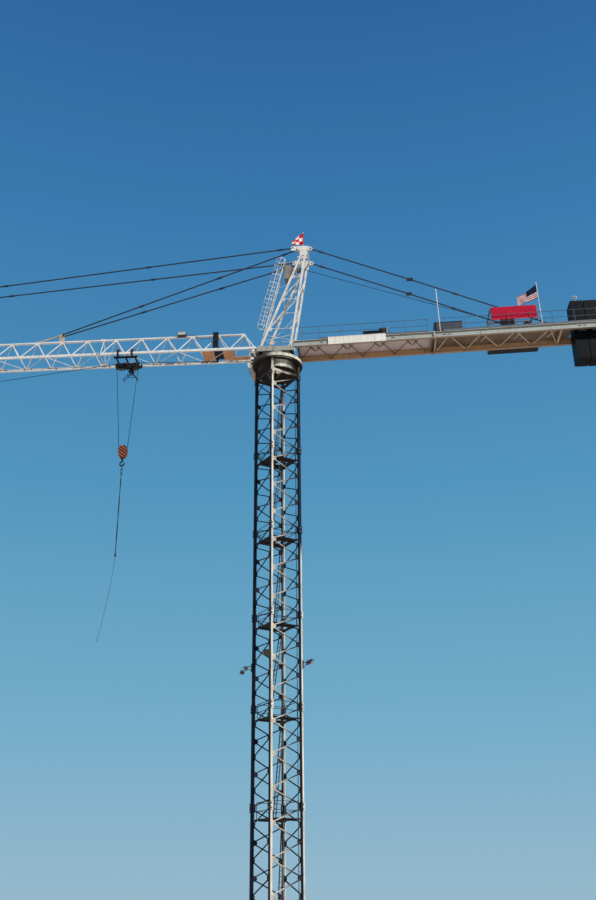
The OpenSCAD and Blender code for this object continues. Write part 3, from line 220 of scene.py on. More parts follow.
def swept(name, path, radius, material, body=None, sides=8, closed=False):
    points = [Vector(p) for p in path]
    count = len(points)
    headings = []
    for i in range(count):
        before = points[(i - 1) % count] if closed or i > 0 else points[i]
        after = points[(i + 1) % count] if closed or i < count - 1 else points[i]
        headings.append((after - before).normalized())
    side = headings[0].orthogonal().normalized()
    verts, lengths, run = [], [], 0.0
    for i in range(count):
        side = (side - headings[i] * side.dot(headings[i])).normalized()
        other = headings[i].cross(side)
        for k in range(sides):
            angle = 2 * pi * k / sides
            verts.append(points[i] + (side * cos(angle) + other * sin(angle)) * radius)
        if i:
            run += (points[i] - points[i - 1]).length
        lengths.append(run)
    faces, uvs = [], []
    for i in range(count if closed else count - 1):
        a, b = i * sides, (i + 1) % count * sides
        v0 = lengths[i]
        v1 = lengths[i + 1] if i + 1 < count else run + (points[0] - points[i]).length
        for k in range(sides):
            n = (k + 1) % sides
            faces.append((a + k, a + n, b + n, b + k))
            uvs += [(k / sides, v0), ((k + 1) / sides, v0), ((k + 1) / sides, v1), (k / sides, v1)]
    if not closed:
        last = (count - 1) * sides
        faces += [tuple(reversed(range(sides))), tuple(range(last, last + sides))]
        uvs += [(0, 0)] * sides + [(0, run)] * sides
    obj = mesh_object(name, verts, faces, material, uvs)
    for polygon in obj.data.polygons:
        polygon.use_smooth = len(polygon.vertices) == 4
    if body:
        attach(obj, body)
    return obj


def route_length(path):
    return sum((Vector(b) - Vector(a)).length for a, b in zip(path, path[1:]))


def smooth_route(points, steps):
    route = []
    padded = [points[0]] + list(points) + [points[-1]]
    for i in range(1, len(padded) - 2):
        p0, p1, p2, p3 = (Vector(p) for p in padded[i - 1:i + 3])
        for k in range(steps):
            t = k / steps
            route.append(0.5 * ((2 * p1) + (p2 - p0) * t + (2 * p0 - 5 * p1 + 4 * p2 - p3) * t * t
                                + (3 * p1 - p0 - 3 * p2 + p3) * t * t * t))
    route.append(Vector(points[-1]))
    return route


ROPE_R = 0.002
greased_rope = rope_material("greased_rope", (0.03, 0.034, 0.045), (0.006, 0.006, 0.008), 0.012, 0.6)
fibre_line = rope_material("fibre_line", (0.06, 0.062, 0.075), (0.015, 0.015, 0.018), 0.006, 0.9)

# The tag line: a light fibre line knotted below the sling's fitting, with a knot at its
# loose end. The wind holds it a little aside.
TAG_ROUTE = [
    (-1.105, 0, 2.3717), (-1.105, 0, 2.36), (-1.107, 0.001, 2.33), (-1.11, 0.001, 2.29),
    (-1.115, 0.002, 2.24), (-1.121, 0.002, 2.19), (-1.128, 0.003, 2.14), (-1.135, 0.003, 2.09),
    (-1.142, 0.003, 2.04), (-1.15, 0.002, 1.99), (-1.158, 0.002, 1.94), (-1.166, 0.001, 1.89),
    (-1.175, 0.001, 1.845), (-1.182, 0, 1.815), (-1.187, 0, 1.793),
]
KNOT = Vector((-1.1868, 0, 1.795))
KNOT_TURN = 9.5
knot_angles = [KNOT_TURN * i / 30 for i in range(31)]
knot_turns = [KNOT + Vector((0.0022 * cos(a), 0.0022 * sin(a), 0.003 * a / KNOT_TURN - 0.0015))
              for a in knot_angles]
tag_line = swept("tag_line_cord", TAG_ROUTE, 0.001, fibre_line, "hook")
tag_knot = swept("tag_line_knot", knot_turns, 0.0009, fibre_line, "hook", sides=6)
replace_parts(tag_line, "tag_line")

# The falls between the trolley and the block, the travel rope and the hoist rope: steel
# ropes held straight by their load, but for the long sag out to the jib's tip.
SHEAVE_Z = 3.8553
BLOCK_SHEAVE_Z = 3.1633
TRAVEL_ROPE_Z = 3.9013
JIB_FOOT_SHEAVE = Vector((-0.186, 0.04, 3.8983))
FOOT_SHEAVE_R = 0.0135


def moving_rope(name, path):
    rope = swept(name, path, ROPE_R, greased_rope)
    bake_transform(rope)
    return rope


near_fall = [(-1.1965, 0, SHEAVE_Z), (-1.134, 0, BLOCK_SHEAVE_Z)]
far_fall = [(-1.0355, 0, SHEAVE_Z), (-1.076, 0, BLOCK_SHEAVE_Z)]
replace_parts(moving_rope("rope_fall_1", near_fall), "rope_falls")
moving_rope("rope_fall_2", far_fall)
outer_travel = [(-7.4539, 0.06, TRAVEL_ROPE_Z), (-1.2103, 0.06, TRAVEL_ROPE_Z)]
inner_travel = [(-0.4603, 0.06, TRAVEL_ROPE_Z), (-1.0217, 0.06, TRAVEL_ROPE_Z)]
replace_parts(moving_rope("travel_rope_outer", outer_travel), "trolley_rope")
moving_rope("travel_rope_inner", inner_travel)

# The outer hoist rope hangs to one low bend half-way along its run.
TIP = Vector((-7.4752, 0, 3.8778))
TROLLEY_OUT = Vector((-1.167, 0, 3.8848))
LOW = 0.387
BEND_HALF = 0.032
long_run = [TIP]
for t in (0.468, 0.484, 0.5, 0.516, 0.532):
    aside = abs(t - 0.5)
    depth = LOW * (1 - aside * 2) - 0.006 * (1 - aside / BEND_HALF)
    long_run.append(TIP + (TROLLEY_OUT - TIP) * t - Vector((0, 0, depth)))
long_run.append(TROLLEY_OUT)
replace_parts(moving_rope("hoist_rope_outer", long_run), "hoist_rope")
foot_leaves = JIB_FOOT_SHEAVE - Vector((0, 0, FOOT_SHEAVE_R))
moving_rope("hoist_rope_inner", [foot_leaves, Vector((-1.065, 0, 3.8848))])

# The hoist rope above the counter-jib: it winds off the drum, goes over the sheave in the
# tower head and down to the sheave at the jib's foot.
HEAD_SHEAVE = Vector((0.162, 0, 4.6473))
HEAD_SHEAVE_R = 0.0185


def round_sheave(centre, radius, first, last, steps):
    angles = [radians(first + (last - first) * i / steps) for i in range(1, steps)]
    return [centre + Vector((cos(a), 0, sin(a))) * radius for a in angles]


head_run = [Vector((1.701, 0, 4.0843)), Vector((0.1688, 0, 4.6645))]
head_run += round_sheave(HEAD_SHEAVE, HEAD_SHEAVE_R, 68.5, 155.1, 8)
head_run += [Vector((0.1452, 0, 4.6551)), Vector((-0.1738, 0.04, 3.8926))]
head_run += round_sheave(JIB_FOOT_SHEAVE, FOOT_SHEAVE_R, -25, -90, 5) + [foot_leaves]
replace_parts(swept("head_rope_run", head_run, ROPE_R, greased_rope, "upper"), "head_rope")


# Paint and weather. Soot and dust lie in soft clouds, rain draws them down in streaks, and
# rust breaks through the paint in small blooms and bleeds downwards.
def ramped(tree, value, start, full, **settings):
    return add(tree, "ShaderNodeMapRange", value, From_Min=start, From_Max=full, **settings).outputs[0]


def weathering_group():
    paint, dirt, rust = (0.8, 0.8, 0.8, 1), (0.2, 0.17, 0.14, 1), (0.25, 0.09, 0.03, 1)
    tree, inside, outside = group(
        "weathering",
        {"Paint": paint, "Dirt": dirt, "Rust": rust, "Dirt Amount": 0.4, "Rust Amount": 0.2, "Underside": 0.0,
         "Scale": 8.0},
        ["Color", "Roughness", "Height"],
    )
    place = add(tree, "ShaderNodeTexCoord").outputs["Object"]
    scaled = add(tree, "ShaderNodeVectorMath", place, operation="SCALE", Scale=inside["Scale"]).outputs[0]

    def noise(detail, roughness, scale=1.0, stretch=(1, 1, 1)):
        drawn = add(tree, "ShaderNodeMapping", scaled, Scale=stretch).outputs[0]
        return add(tree, "ShaderNodeTexNoise", drawn, Scale=scale, Detail=detail,
                   Roughness=roughness).outputs["Fac"]

    cloud = noise(6.0, 0.6)
    streak = noise(4.0, 0.5, stretch=(9.0, 9.0, 0.6))
    soot = ramped(tree, maths(tree, "MULTIPLY", cloud, streak), 0.17, 0.42)
    # faces that look down are darkened towards the dirt colour, as far as Underside asks
    normal = add(tree, "ShaderNodeNewGeometry").outputs["Normal"]
    down = ramped(tree, add(tree, "ShaderNodeSeparateXYZ", normal).outputs[2], -0.25, -0.95)
    below = maths(tree, "MULTIPLY", down, inside["Underside"])
    dirty = maths(tree, "MAXIMUM", maths(tree, "MULTIPLY", soot, inside["Dirt Amount"]), below)
    spots = maths(tree, "MAXIMUM", noise(8.0, 0.7, scale=7.0), noise(7.0, 0.65, stretch=(6.0, 6.0, 1.4)))
    rusty = maths(tree, "MULTIPLY", ramped(tree, spots, 0.61, 0.7), inside["Rust Amount"])
    soiled = mixed(tree, dirty, inside["Paint"], inside["Dirt"])
    fill(tree, outside["Color"], mixed(tree, rusty, soiled, inside["Rust"]))
    worn = maths(tree, "MAXIMUM", dirty, rusty)
    fill(tree, outside["Roughness"], ramped(tree, worn, 0.0, 1.0, To_Min=0.4, To_Max=0.88))
    fill(tree, outside["Height"], spots)
    return tree


WEATHERING = weathering_group()


def painted(name, paint, dirt=(0.1, 0.085, 0.07), rust=(0.2, 0.07, 0.025), dirt_amount=0.4, rust_amount=0.3,
            underside=0.0, scale=10.0, bump=0.15, metallic=0.0, gloss=0.3):
    material, tree, shader = new_material(name, Metallic=metallic, Specular_IOR_Level=gloss)
    weather = add(tree, "ShaderNodeGroup", node_tree=WEATHERING, Paint=paint, Dirt=dirt, Rust=rust,
                  Dirt_Amount=dirt_amount, Rust_Amount=rust_amount, Underside=underside, Scale=scale).outputs
    fill(tree, shader["Base Color"], weather["Color"])
    fill(tree, shader["Roughness"], weather["Roughness"])
    fill(tree, shader["Normal"], relief(tree, weather["Height"], bump, 0.001))
    return material


# A second colour where the tests all hold: it paints sunlight, shade and reflected light on some parts, and
# brackets and a second paint on others. Each test is a source, a direction, and the values where it starts
# and is full. "place" is measured from the object's origin, "either side" is the same both ways, and "facing"
# is the way that a face looks.
def marked(material, colour, *tests, amount=1.0):
    tree = material.node_tree
    before = next(n for n in tree.nodes if n.type == "GROUP").inputs["Paint"]
    place = add(tree, "ShaderNodeTexCoord").outputs["Object"]
    facing = add(tree, "ShaderNodeNewGeometry").outputs["True Normal"]
    factor = amount
    for source, direction, start, full in tests:
        vector = facing if source == "facing" else place
        value = add(tree, "ShaderNodeVectorMath", vector, direction, operation="DOT_PRODUCT").outputs["Value"]
        if source == "either side":
            value = maths(tree, "ABSOLUTE", value)
        factor = maths(tree, "MULTIPLY", ramped(tree, value, start, full), factor)
    under = before.links[0].from_socket if before.is_linked else tuple(before.default_value)
    fill(tree, before, mixed(tree, factor, under, colour))


def paint_nodes(material, *names):
    for name in names:
        data = NODES[name].data
        data.materials.clear()
        data.materials.append(material)


# Plates, bars and rods are cut and welded in one mesh, and leave the shop with their
# sharp edges broken by a small bevel.
def block(work, middle, size, at=Matrix()):
    made = bmesh.ops.create_cube(work, size=1.0)["verts"]
    place = at @ Matrix.Translation(middle) @ Matrix.Diagonal((*size, 1))
    bmesh.ops.transform(work, matrix=place, verts=made)


def plate(work, low, high, at=Matrix()):
    low, high = Vector(low), Vector(high)
    block(work, (low + high) / 2, high - low, at)


def rod(work, start, end, radius, sides=10, end_radius=None, at=Matrix()):
    start, end = Vector(start), Vector(end)
    along = end - start
    made = bmesh.ops.create_cone(work, cap_ends=True, segments=sides, radius1=radius,
                                 radius2=end_radius or radius, depth=along.length)["verts"]
    turn = along.to_track_quat("Z", "Y").to_matrix().to_4x4()
    bmesh.ops.transform(work, matrix=at @ Matrix.Translation((start + end) / 2) @ turn, verts=made)


# A flat plate cut to an outline of four corners in its own x and z.
def cut_plate(work, outline, half, at):
    verts = [work.verts.new(at @ Vector((x, y, z))) for y in (-half, half) for x, z in outline]
    work.faces.new(verts[:4])
    work.faces.new(reversed(verts[4:]))
    for a in range(4):
        b = (a + 1) % 4
        work.faces.new((verts[b], verts[a], verts[a + 4], verts[b + 4]))


def turned(degrees, axis):
    return Matrix.Rotation(radians(degrees), 4, axis)


def circle(count):
    return [2 * pi * k / count for k in range(count)]


def outward(work):
    bmesh.ops.recalc_face_normals(work, faces=work.faces)


def flatten(obj):
    bpy.context.view_layer.update()
    shaped = bpy.data.meshes.new_from_object(obj.evaluated_get(bpy.context.evaluated_depsgraph_get()))
    obj.modifiers.clear()
    old = obj.data
    obj.data = shaped
    bpy.data.meshes.remove(old)


def finished(name, work, material, body, bevel=0.0):
    data = bpy.data.meshes.new(name)
    work.to_mesh(data)
    work.free()
    obj = new_object(name, data)
    data.materials.append(material)
    if bevel:
        edge = obj.modifiers.new("edge", "BEVEL")
        edge.width = bevel
        edge.segments = 2
        edge.limit_method = "ANGLE"
        edge.angle_limit = radians(50)
        flatten(obj)
    for polygon in obj.data.polygons:
        polygon.use_smooth = False
    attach(obj, body)
    return obj


# Bolts, pins and grating bars repeat along the steel. Each set is one mesh of points that
# carry a direction, and the fastener is put on every point.
CAP_TAPER = 0.86


def repeat_tree(name, sides, taper):
    tree = bpy.data.node_groups.new(name, "GeometryNodeTree")
    for label, kind in (("Geometry", "Geometry"), ("Radius", "Float"), ("Length", "Float"),
                        ("Finish", "Material")):
        tree.interface.new_socket(label, in_out="INPUT", socket_type="NodeSocket" + kind)
    tree.interface.new_socket("Geometry", in_out="OUTPUT", socket_type="NodeSocketGeometry")
    inside = add(tree, "NodeGroupInput").outputs
    top = maths(tree, "MULTIPLY", inside["Radius"], taper)
    shank = add(tree, "GeometryNodeMeshCone", Vertices=sides, Radius_Bottom=inside["Radius"], Radius_Top=top,
                Depth=inside["Length"])
    axis = add(tree, "GeometryNodeInputNamedAttribute", data_type="FLOAT_VECTOR", Name="axis")
    turn = add(tree, "FunctionNodeAlignRotationToVector", axis="Z", Vector=axis.outputs["Attribute"])
    placed = add(tree, "GeometryNodeInstanceOnPoints", Points=inside["Geometry"],
                 Instance=shank.outputs["Mesh"], Rotation=turn.outputs[0])
    real = add(tree, "GeometryNodeRealizeInstances", placed.outputs[0])
    dress = add(tree, "GeometryNodeSetMaterial", Geometry=real.outputs[0], Material=inside["Finish"])
    add(tree, "NodeGroupOutput", dress.outputs[0])
    return tree


HEX_HEADS = repeat_tree("hex_heads", 6, CAP_TAPER)
ROUND_PINS = repeat_tree("round_pins", 12, CAP_TAPER)
GRATE_BARS = repeat_tree("grate_bars", 4, 1.0)


def repeated(name, tree, places, radius, length, material, body):
    data = bpy.data.meshes.new(name)
    data.from_pydata([tuple(p) for p, _ in places], [], [])
    axis = data.attributes.new("axis", "FLOAT_VECTOR", "POINT")
    axis.data.foreach_set("vector", [c for _, d in places for c in Vector(d).normalized()])
    obj = new_object(name, data)
    put = obj.modifiers.new("repeat", "NODES")
    put.node_group = tree
    values = {"Radius": radius, "Length": length, "Finish": material}
    for item in tree.interface.items_tree:
        if item.item_type == "SOCKET" and item.in_out == "INPUT" and item.name in values:
            put[item.identifier] = values[item.name]
    flatten(obj)
    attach(obj, body)


# The mast stands on crossed base beams. Its chords and zigzag bars are steel sections painted a dark slate
# that stands in for shade, marked by rust, with painted sunlight in pale cream on the near faces that look to
# the sun.
MAST_TURN = 35.2
MAST = turned(MAST_TURN, "Z")
MAST_HALF = 0.11
BASE_H = 0.16
SECTION_H = 0.588
SECTIONS = 6
CORNERS = [(MAST_HALF, -MAST_HALF), (MAST_HALF, MAST_HALF), (-MAST_HALF, MAST_HALF), (-MAST_HALF, -MAST_HALF)]
ACROSS = MAST.to_3x3() @ Vector((1, 0, 0))
DEEP = MAST.to_3x3() @ Vector((0, 1, 0))
# Pale cream is the painted sunlight; the dark slate of the mast's paint is painted shade.
PAINTED_SUNLIT_CREAM = (0.74, 0.71, 0.62)
SUNNY = ("facing", -DEEP, 0.55, 0.8)
NEAR_SIDE = ("place", DEEP, -0.1005, -0.101)
mast_painted_shade_and_sun = painted("mast_painted_shade_and_sun", (0.01, 0.017, 0.034), dirt=(0.02, 0.018, 0.02),
                      rust=(0.16, 0.055, 0.022), dirt_amount=0.5, rust_amount=0.7, scale=9.0, gloss=0.12)
# Painted sunlight: pale cream on the sun-facing faces of the chords and, fainter, of the near face's bars.
marked(mast_painted_shade_and_sun, PAINTED_SUNLIT_CREAM, SUNNY, NEAR_SIDE, ("place", ACROSS, -0.116, -0.113),
       ("place", ACROSS, -0.085, -0.095))
marked(mast_painted_shade_and_sun, PAINTED_SUNLIT_CREAM, SUNNY, NEAR_SIDE, ("place", ACROSS, -0.098, -0.095),
       ("place", ACROSS, 0.045, -0.03), amount=0.75)
marked(mast_painted_shade_and_sun, PAINTED_SUNLIT_CREAM, SUNNY, NEAR_SIDE, ("place", ACROSS, 0.107, 0.11), ("place", (0, 0, 1), 2.42, 2.3))
marked(mast_painted_shade_and_sun, PAINTED_SUNLIT_CREAM, SUNNY, ("place", DEEP, 0.1005, 0.101), ("place", ACROSS, 0.1005, 0.101))
paint_nodes(mast_painted_shade_and_sun, "base_frame", *["mast_section_%d" % n for n in range(1, SECTIONS + 1)])
# The neck is painted dark brown as shade, with painted sunlight in pale cream on its sun-facing near side.
neck_painted_shade_and_sun = painted("neck_painted_shade_and_sun", (0.06, 0.048, 0.042), dirt=(0.018, 0.013, 0.011), rust=(0.2, 0.1, 0.05),
                     dirt_amount=0.9, rust_amount=0.9, underside=0.9, scale=14.0, gloss=0.1)
marked(neck_painted_shade_and_sun, PAINTED_SUNLIT_CREAM, ("facing", -DEEP, 0.7, 0.9), NEAR_SIDE, ("place", ACROSS, 0.055, -0.01))
paint_nodes(neck_painted_shade_and_sun, "mast_neck")


# A fastener's seat: its place and the way it points, given in the frame of its own part.
def seat(at, place, direction=(0, 0, 1)):
    return at @ Vector(place), at.to_3x3() @ Vector(direction)


def seats_round(count, radius, z, first=0, direction=(0, 0, 1)):
    return [seat(turned(first + 360 / count * k, "Z"), (radius, 0, z), direction) for k in range(count)]


# Each joint has a bolt block on both sides of the split, two stout bolts through each
# corner, and gusset plates where the zigzag bars meet a chord.
GUSSET = [(-0.009, -0.021), (-0.036, -0.007), (-0.036, 0.007), (-0.009, 0.021)]
joint_bolts, gusset_bolts = [], []
mast_steel = bmesh.new()
for n in range(SECTIONS + 1):
    for x, y in CORNERS:
        corner = Vector((x, y, BASE_H + n * SECTION_H))
        for face in ((copysign(1, x), 0, 0), (0, copysign(1, y), 0)):
            for rise in (-0.013, 0.013):
                joint_bolts.append(seat(MAST, corner + Vector((0, 0, rise)) + Vector(face) * 0.0125, face))
        if 0 < n < SECTIONS:
            lug = MAST @ (corner + Vector((-x, -y, 0)).normalized() * 0.016)
            block(mast_steel, (0, 0, 0), (0.01, 0.008, 0.04),
                  Matrix.Translation(lug) @ turned(MAST_TURN + 45, "Z"))
for n in range(SECTIONS):
    for pitch in range(3):
        for k in range(4):
            face = MAST @ turned(90 * k, "Z")
            for sign, rise in ((1, pitch / 3), (-1, (pitch + 0.5) / 3)):
                if rise == 0:
                    continue
                x, z = sign * MAST_HALF, BASE_H + SECTION_H * (n + rise)
                outline = [(sign * dx, dz) for dx, dz in GUSSET]
                cut_plate(mast_steel, outline, 0.0014, face @ Matrix.Translation((x, -MAST_HALF, z)))
                for dx in (-0.015, -0.028):
                    gusset_bolts.append(seat(face, (x + sign * dx, -MAST_HALF - 0.0024, z), (0, -1, 0)))
outward(mast_steel)
finished("mast_gussets", mast_steel, mast_painted_shade_and_sun, "mast")
bolt_steel = painted("bolt_steel", (0.22, 0.2, 0.19), rust=(0.17, 0.06, 0.025), dirt_amount=0.5,
                     rust_amount=1.0, scale=60.0, gloss=0.2)
repeated("mast_joint_bolts", HEX_HEADS, joint_bolts, 0.0052, 0.0034, bolt_steel, "mast")
repeated("mast_gusset_bolts", HEX_HEADS, gusset_bolts, 0.0022, 0.0016, bolt_steel, "mast")

# Anchor bolts hold the base beams to the foundation, one through each foot, with a large
# hexagonal nut on top.
ANCHOR_R = 0.186
ANCHOR_Z = 0.0395
anchors = seats_round(4, ANCHOR_R, ANCHOR_Z, MAST_TURN + 45)
repeated("anchor_nuts", HEX_HEADS, anchors, 0.0075, 0.007, bolt_steel, "mast")

# The landings are chequered plate with a guard rail. Their undersides are painted darker still, and the
# ladders between them are galvanised and dull.
LANDING_DROP = 0.0657
LANDING_HALF = 0.092
TREAD_PITCH = 0.0153
landing_paint = painted("landing_paint", (0.045, 0.045, 0.05), dirt=(0.02, 0.017, 0.016), dirt_amount=0.8,
                        rust_amount=0.8, underside=0.8, scale=16.0, bump=0.4, gloss=0.1)
paint_nodes(landing_paint, "mast_landings")
zinc_ladder = painted("zinc_ladder", (0.07, 0.08, 0.1), dirt_amount=0.5, rust_amount=0.4, scale=20.0,
                      gloss=0.2)
paint_nodes(zinc_ladder, "mast_ladders")


def slant(i, j):
    return (1, 1, 0) if (i + j) % 2 else (1, -1, 0)


treads = []
for n in range(1, SECTIONS):
    for i in range(13):
        for j in range(13):
            x, y = TREAD_PITCH * i - LANDING_HALF, TREAD_PITCH * j - LANDING_HALF
            over_hatch = -0.004 < x < 0.074 and abs(y) < 0.039
            if not over_hatch:
                treads.append(seat(MAST, (x, y, BASE_H + n * SECTION_H - LANDING_DROP), slant(i, j)))
repeated("landing_treads", GRATE_BARS, treads, 0.001, 0.009, landing_paint, "mast")

# The power cable runs down one face of the mast in rubber, tied to each zigzag bar.
rubber = painted("rubber", (0.022, 0.022, 0.024), dirt=(0.09, 0.08, 0.07), dirt_amount=0.35, rust_amount=0.0,
                 scale=40.0)
paint_nodes(rubber, "mast_cable")
tie_heights = [BASE_H + SECTION_H * (n + (pitch + 0.35) / 6) for n in range(SECTIONS) for pitch in range(6)]
ties = [seat(MAST, (MAST_HALF - 0.0063, -0.075, z)) for z in tie_heights]
repeated("cable_ties", ROUND_PINS, ties, 0.0031, 0.006, rubber, "mast")

# Flood lights hang from the mast on braced arms: cast housings with cooling ribs behind
# and a glass front, each in its own yoke.
CHORD_FACE = 0.1686
HEAD_W, HEAD_H = 0.0125, 0.0115
FLOOD_ARMS = [
    (170.2, 0.06, 1.6, [((0.212, -0.004, 1.598), 28, 20), ((0.234, 0.006, 1.574), -8, -30)]),
    (-9.8, 0.052, 1.602, [((0.203, 0.004, 1.612), 20, -16), ((0.226, -0.004, 1.617), -12, 34)]),
]
lamp_cast = painted("lamp_cast", (0.035, 0.036, 0.04), dirt=(0.15, 0.13, 0.11), dirt_amount=0.35,
                    rust_amount=0.3, scale=50.0, bump=0.3)
lamp_pane = painted("lamp_pane", (0.42, 0.43, 0.4), dirt=(0.12, 0.11, 0.09), dirt_amount=0.5, rust_amount=0.0,
                    scale=60.0)
lamps, panes = bmesh.new(), bmesh.new()


def flood_head(at):
    plate(lamps, (-0.0085, -HEAD_W, -HEAD_H), (0.006, HEAD_W, HEAD_H), at)
    for i in range(6):
        rib = HEAD_W * (0.33 * i - 0.86)
        plate(lamps, (-0.0125, rib - 0.0006, -HEAD_H * 0.85), (-0.008, rib + 0.0006, HEAD_H * 0.85), at)
    for side in (-1, 1):
        yoke, lip = side * (HEAD_W + 0.002), side * HEAD_H * 0.93
        plate(lamps, (-0.002, yoke - 0.0008, -0.004), (0.002, yoke + 0.0008, HEAD_H + 0.0055), at)
        plate(lamps, (0.0055, -HEAD_W, lip - 0.001), (0.0078, HEAD_W, lip + 0.001), at)
    plate(lamps, (-0.002, -HEAD_W - 0.0025, HEAD_H + 0.004), (0.002, HEAD_W + 0.0025, HEAD_H + 0.006), at)
    plate(panes, (0.0055, -HEAD_W * 0.9, -HEAD_H * 0.86), (0.0068, HEAD_W * 0.9, HEAD_H * 0.86), at)


for angle, reach, z, heads in FLOOD_ARMS:
    arm = turned(angle, "Z")
    block(lamps, (CHORD_FACE + 0.002, 0, z), (0.004, 0.014, 0.052), arm)
    rod(lamps, (CHORD_FACE + 0.002, 0, z + 0.012), (CHORD_FACE + reach, 0, z + 0.006), 0.0026, at=arm)
    rod(lamps, (CHORD_FACE + 0.003, 0, z - 0.02), (CHORD_FACE + reach * 0.62, 0, z + 0.008), 0.002, at=arm)
    for place, yaw, pitch in heads:
        flood_head(arm @ Matrix.Translation(place) @ turned(yaw, "Z") @ turned(pitch, "Y"))
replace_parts(finished("flood_light_bodies", lamps, lamp_cast, "mast", bevel=0.0006),
            "work_lights")
finished("flood_light_panes", panes, lamp_pane, "mast", bevel=0.0003)

# A round drum light on the near chord, in dark olive, held by a short bracket. It looks out
# and a little down.
DRUM_Z = 1.645
DRUM_AIM = Vector((0.06, -1.0, -0.3)).normalized()
DRUM_AT = Vector((-0.047, -0.178, DRUM_Z))
olive = painted("olive_paint", (0.055, 0.052, 0.034), dirt=(0.03, 0.026, 0.022), dirt_amount=0.5,
                rust_amount=0.5, scale=40.0, gloss=0.15)
drum = bmesh.new()
near_chord = turned(-99.8, "Z")
block(drum, (CHORD_FACE + 0.002, 0, DRUM_Z), (0.004, 0.01, 0.042), near_chord)
rod(drum, (CHORD_FACE + 0.002, -0.001, DRUM_Z), (CHORD_FACE + 0.008, -0.012, DRUM_Z), 0.004, at=near_chord)
for back, front, radius, end_radius, sides in ((-0.006, 0.006, 0.0235, 0.0235, 36),
                                               (0.0055, 0.0085, 0.0245, 0.0225, 36),
                                               (-0.011, -0.0055, 0.012, 0.02, 28)):
    rod(drum, DRUM_AT + DRUM_AIM * back, DRUM_AT + DRUM_AIM * front, radius, sides, end_radius)
finished("drum_light", drum, olive, "mast", bevel=0.0006)

# The neck carries the round walkway: an edge band and plate in cream paint, painted dark brown as shade
# except on the side that faces the sun, with the fixed half of the slewing ring bolted on it.
RING_SPLIT = 3.834
walkway_painted_shade_and_sun = painted("walkway_painted_shade_and_sun", (0.085, 0.065, 0.055), dirt=(0.03, 0.022, 0.018),
                      rust=(0.24, 0.12, 0.06), dirt_amount=0.55, rust_amount=0.9, underside=0.9, scale=12.0,
                      gloss=0.15)
# Painted shade: the band is dark brown all round, but for pale cream on the faces that look to the sun.
marked(walkway_painted_shade_and_sun, (0.8, 0.77, 0.66), ("facing", (0.78, -0.63, 0), 0.3, 0.62))
paint_nodes(walkway_painted_shade_and_sun, "round_walkway")
ring_paint = painted("ring_paint", (0.3, 0.29, 0.25), dirt=(0.05, 0.042, 0.035), dirt_amount=0.8,
                     rust_amount=0.8, underside=0.9, scale=14.0)
paint_nodes(ring_paint, "slewing_ring")
band_bolts = seats_round(36, 0.1846, 3.812, direction=(1, 0, 0))
foot_bolts = seats_round(36, 0.1285, 3.8015)
repeated("walkway_band_bolts", HEX_HEADS, band_bolts, 0.0026, 0.0018, bolt_steel, "mast")
repeated("ring_foot_bolts", HEX_HEADS, foot_bolts, 0.0038, 0.004, bolt_steel, "mast")
grease = painted("grease", (0.03, 0.026, 0.022), dirt=(0.08, 0.06, 0.045), dirt_amount=0.5, rust_amount=0.4,
                 scale=40.0)
teeth = seats_round(90, 0.119, RING_SPLIT - 0.017)
repeated("ring_gear_teeth", GRATE_BARS, teeth, 0.0026, 0.02, grease, "mast")

# The slewing platform turns on the ring: a welded frame in grey-cream paint that turns brown on the faces
# that look down, with bolts round the ring and stiffener plates on its side beams.
PLATFORM_Z = 3.8703
PLATFORM_TOP = 3.9083
BEAM_Y = 0.1225
platform_paint = painted("platform_paint", (0.37, 0.39, 0.35), dirt=(0.17, 0.13, 0.1),
                         rust=(0.22, 0.09, 0.035), dirt_amount=0.55, rust_amount=0.9, underside=0.9,
                         scale=10.0)
paint_nodes(platform_paint, "slewing_platform")
frame_plates = bmesh.new()
for x, side in ((-0.018, -1), (-0.1, 1), (-0.018, 1), (0.06, 1)):
    plate(frame_plates, (x - 0.0015, side * BEAM_Y - 0.0035, PLATFORM_Z + 0.001),
          (x + 0.0015, side * BEAM_Y + 0.0025, PLATFORM_TOP - 0.001))
finished("platform_stiffeners", frame_plates, platform_paint, "upper", bevel=0.0005)
ring_bolts = seats_round(32, 0.113, PLATFORM_TOP - 0.0012, first=3)
repeated("slewing_ring_bolts", HEX_HEADS, ring_bolts, 0.004, 0.0046, bolt_steel, "upper")

# The operator's cab hangs from two brackets beside the jib's foot: a folded steel shell with
# big panes in black rubber, a flat roof cap and a door in the side away from the jib.
CAB_X0, CAB_X1 = -0.238, -0.062
CAB_Y0, CAB_Y1 = 0.136, 0.258
CAB_Z0, CAB_Z1 = 3.8263, 4.0223
CAB = Matrix.Translation((0, 0, CAB_Z0))
SILL, LINTEL = CAB_Z0 + 0.084, CAB_Z1 - 0.016
WINDOWS = [(CAB_X0 + 0.028, CAB_X1 - 0.07), (CAB_X1 - 0.058, CAB_X1 - 0.016)]
cab_paint = painted("cab_paint", (0.72, 0.72, 0.68), dirt=(0.22, 0.16, 0.11), rust=(0.26, 0.11, 0.045),
                    dirt_amount=0.5, rust_amount=0.6, underside=0.75, scale=14.0)
paint_nodes(cab_paint, "operator_cab")
glass = painted("glass", (0.1, 0.13, 0.13), dirt=(0.2, 0.17, 0.13), dirt_amount=0.4, rust_amount=0.0,
                scale=20.0, bump=0.02)
glass_shader = glass.node_tree.nodes["Principled BSDF"].inputs
glass.node_tree.links.remove(glass_shader["Roughness"].links[0])
glass_shader["Roughness"].default_value = 0.06
glass_shader["Alpha"].default_value = 0.62
glass_shader["Coat Weight"].default_value = 0.6
paint_nodes(glass, "cab_glass")
gasket = bmesh.new()
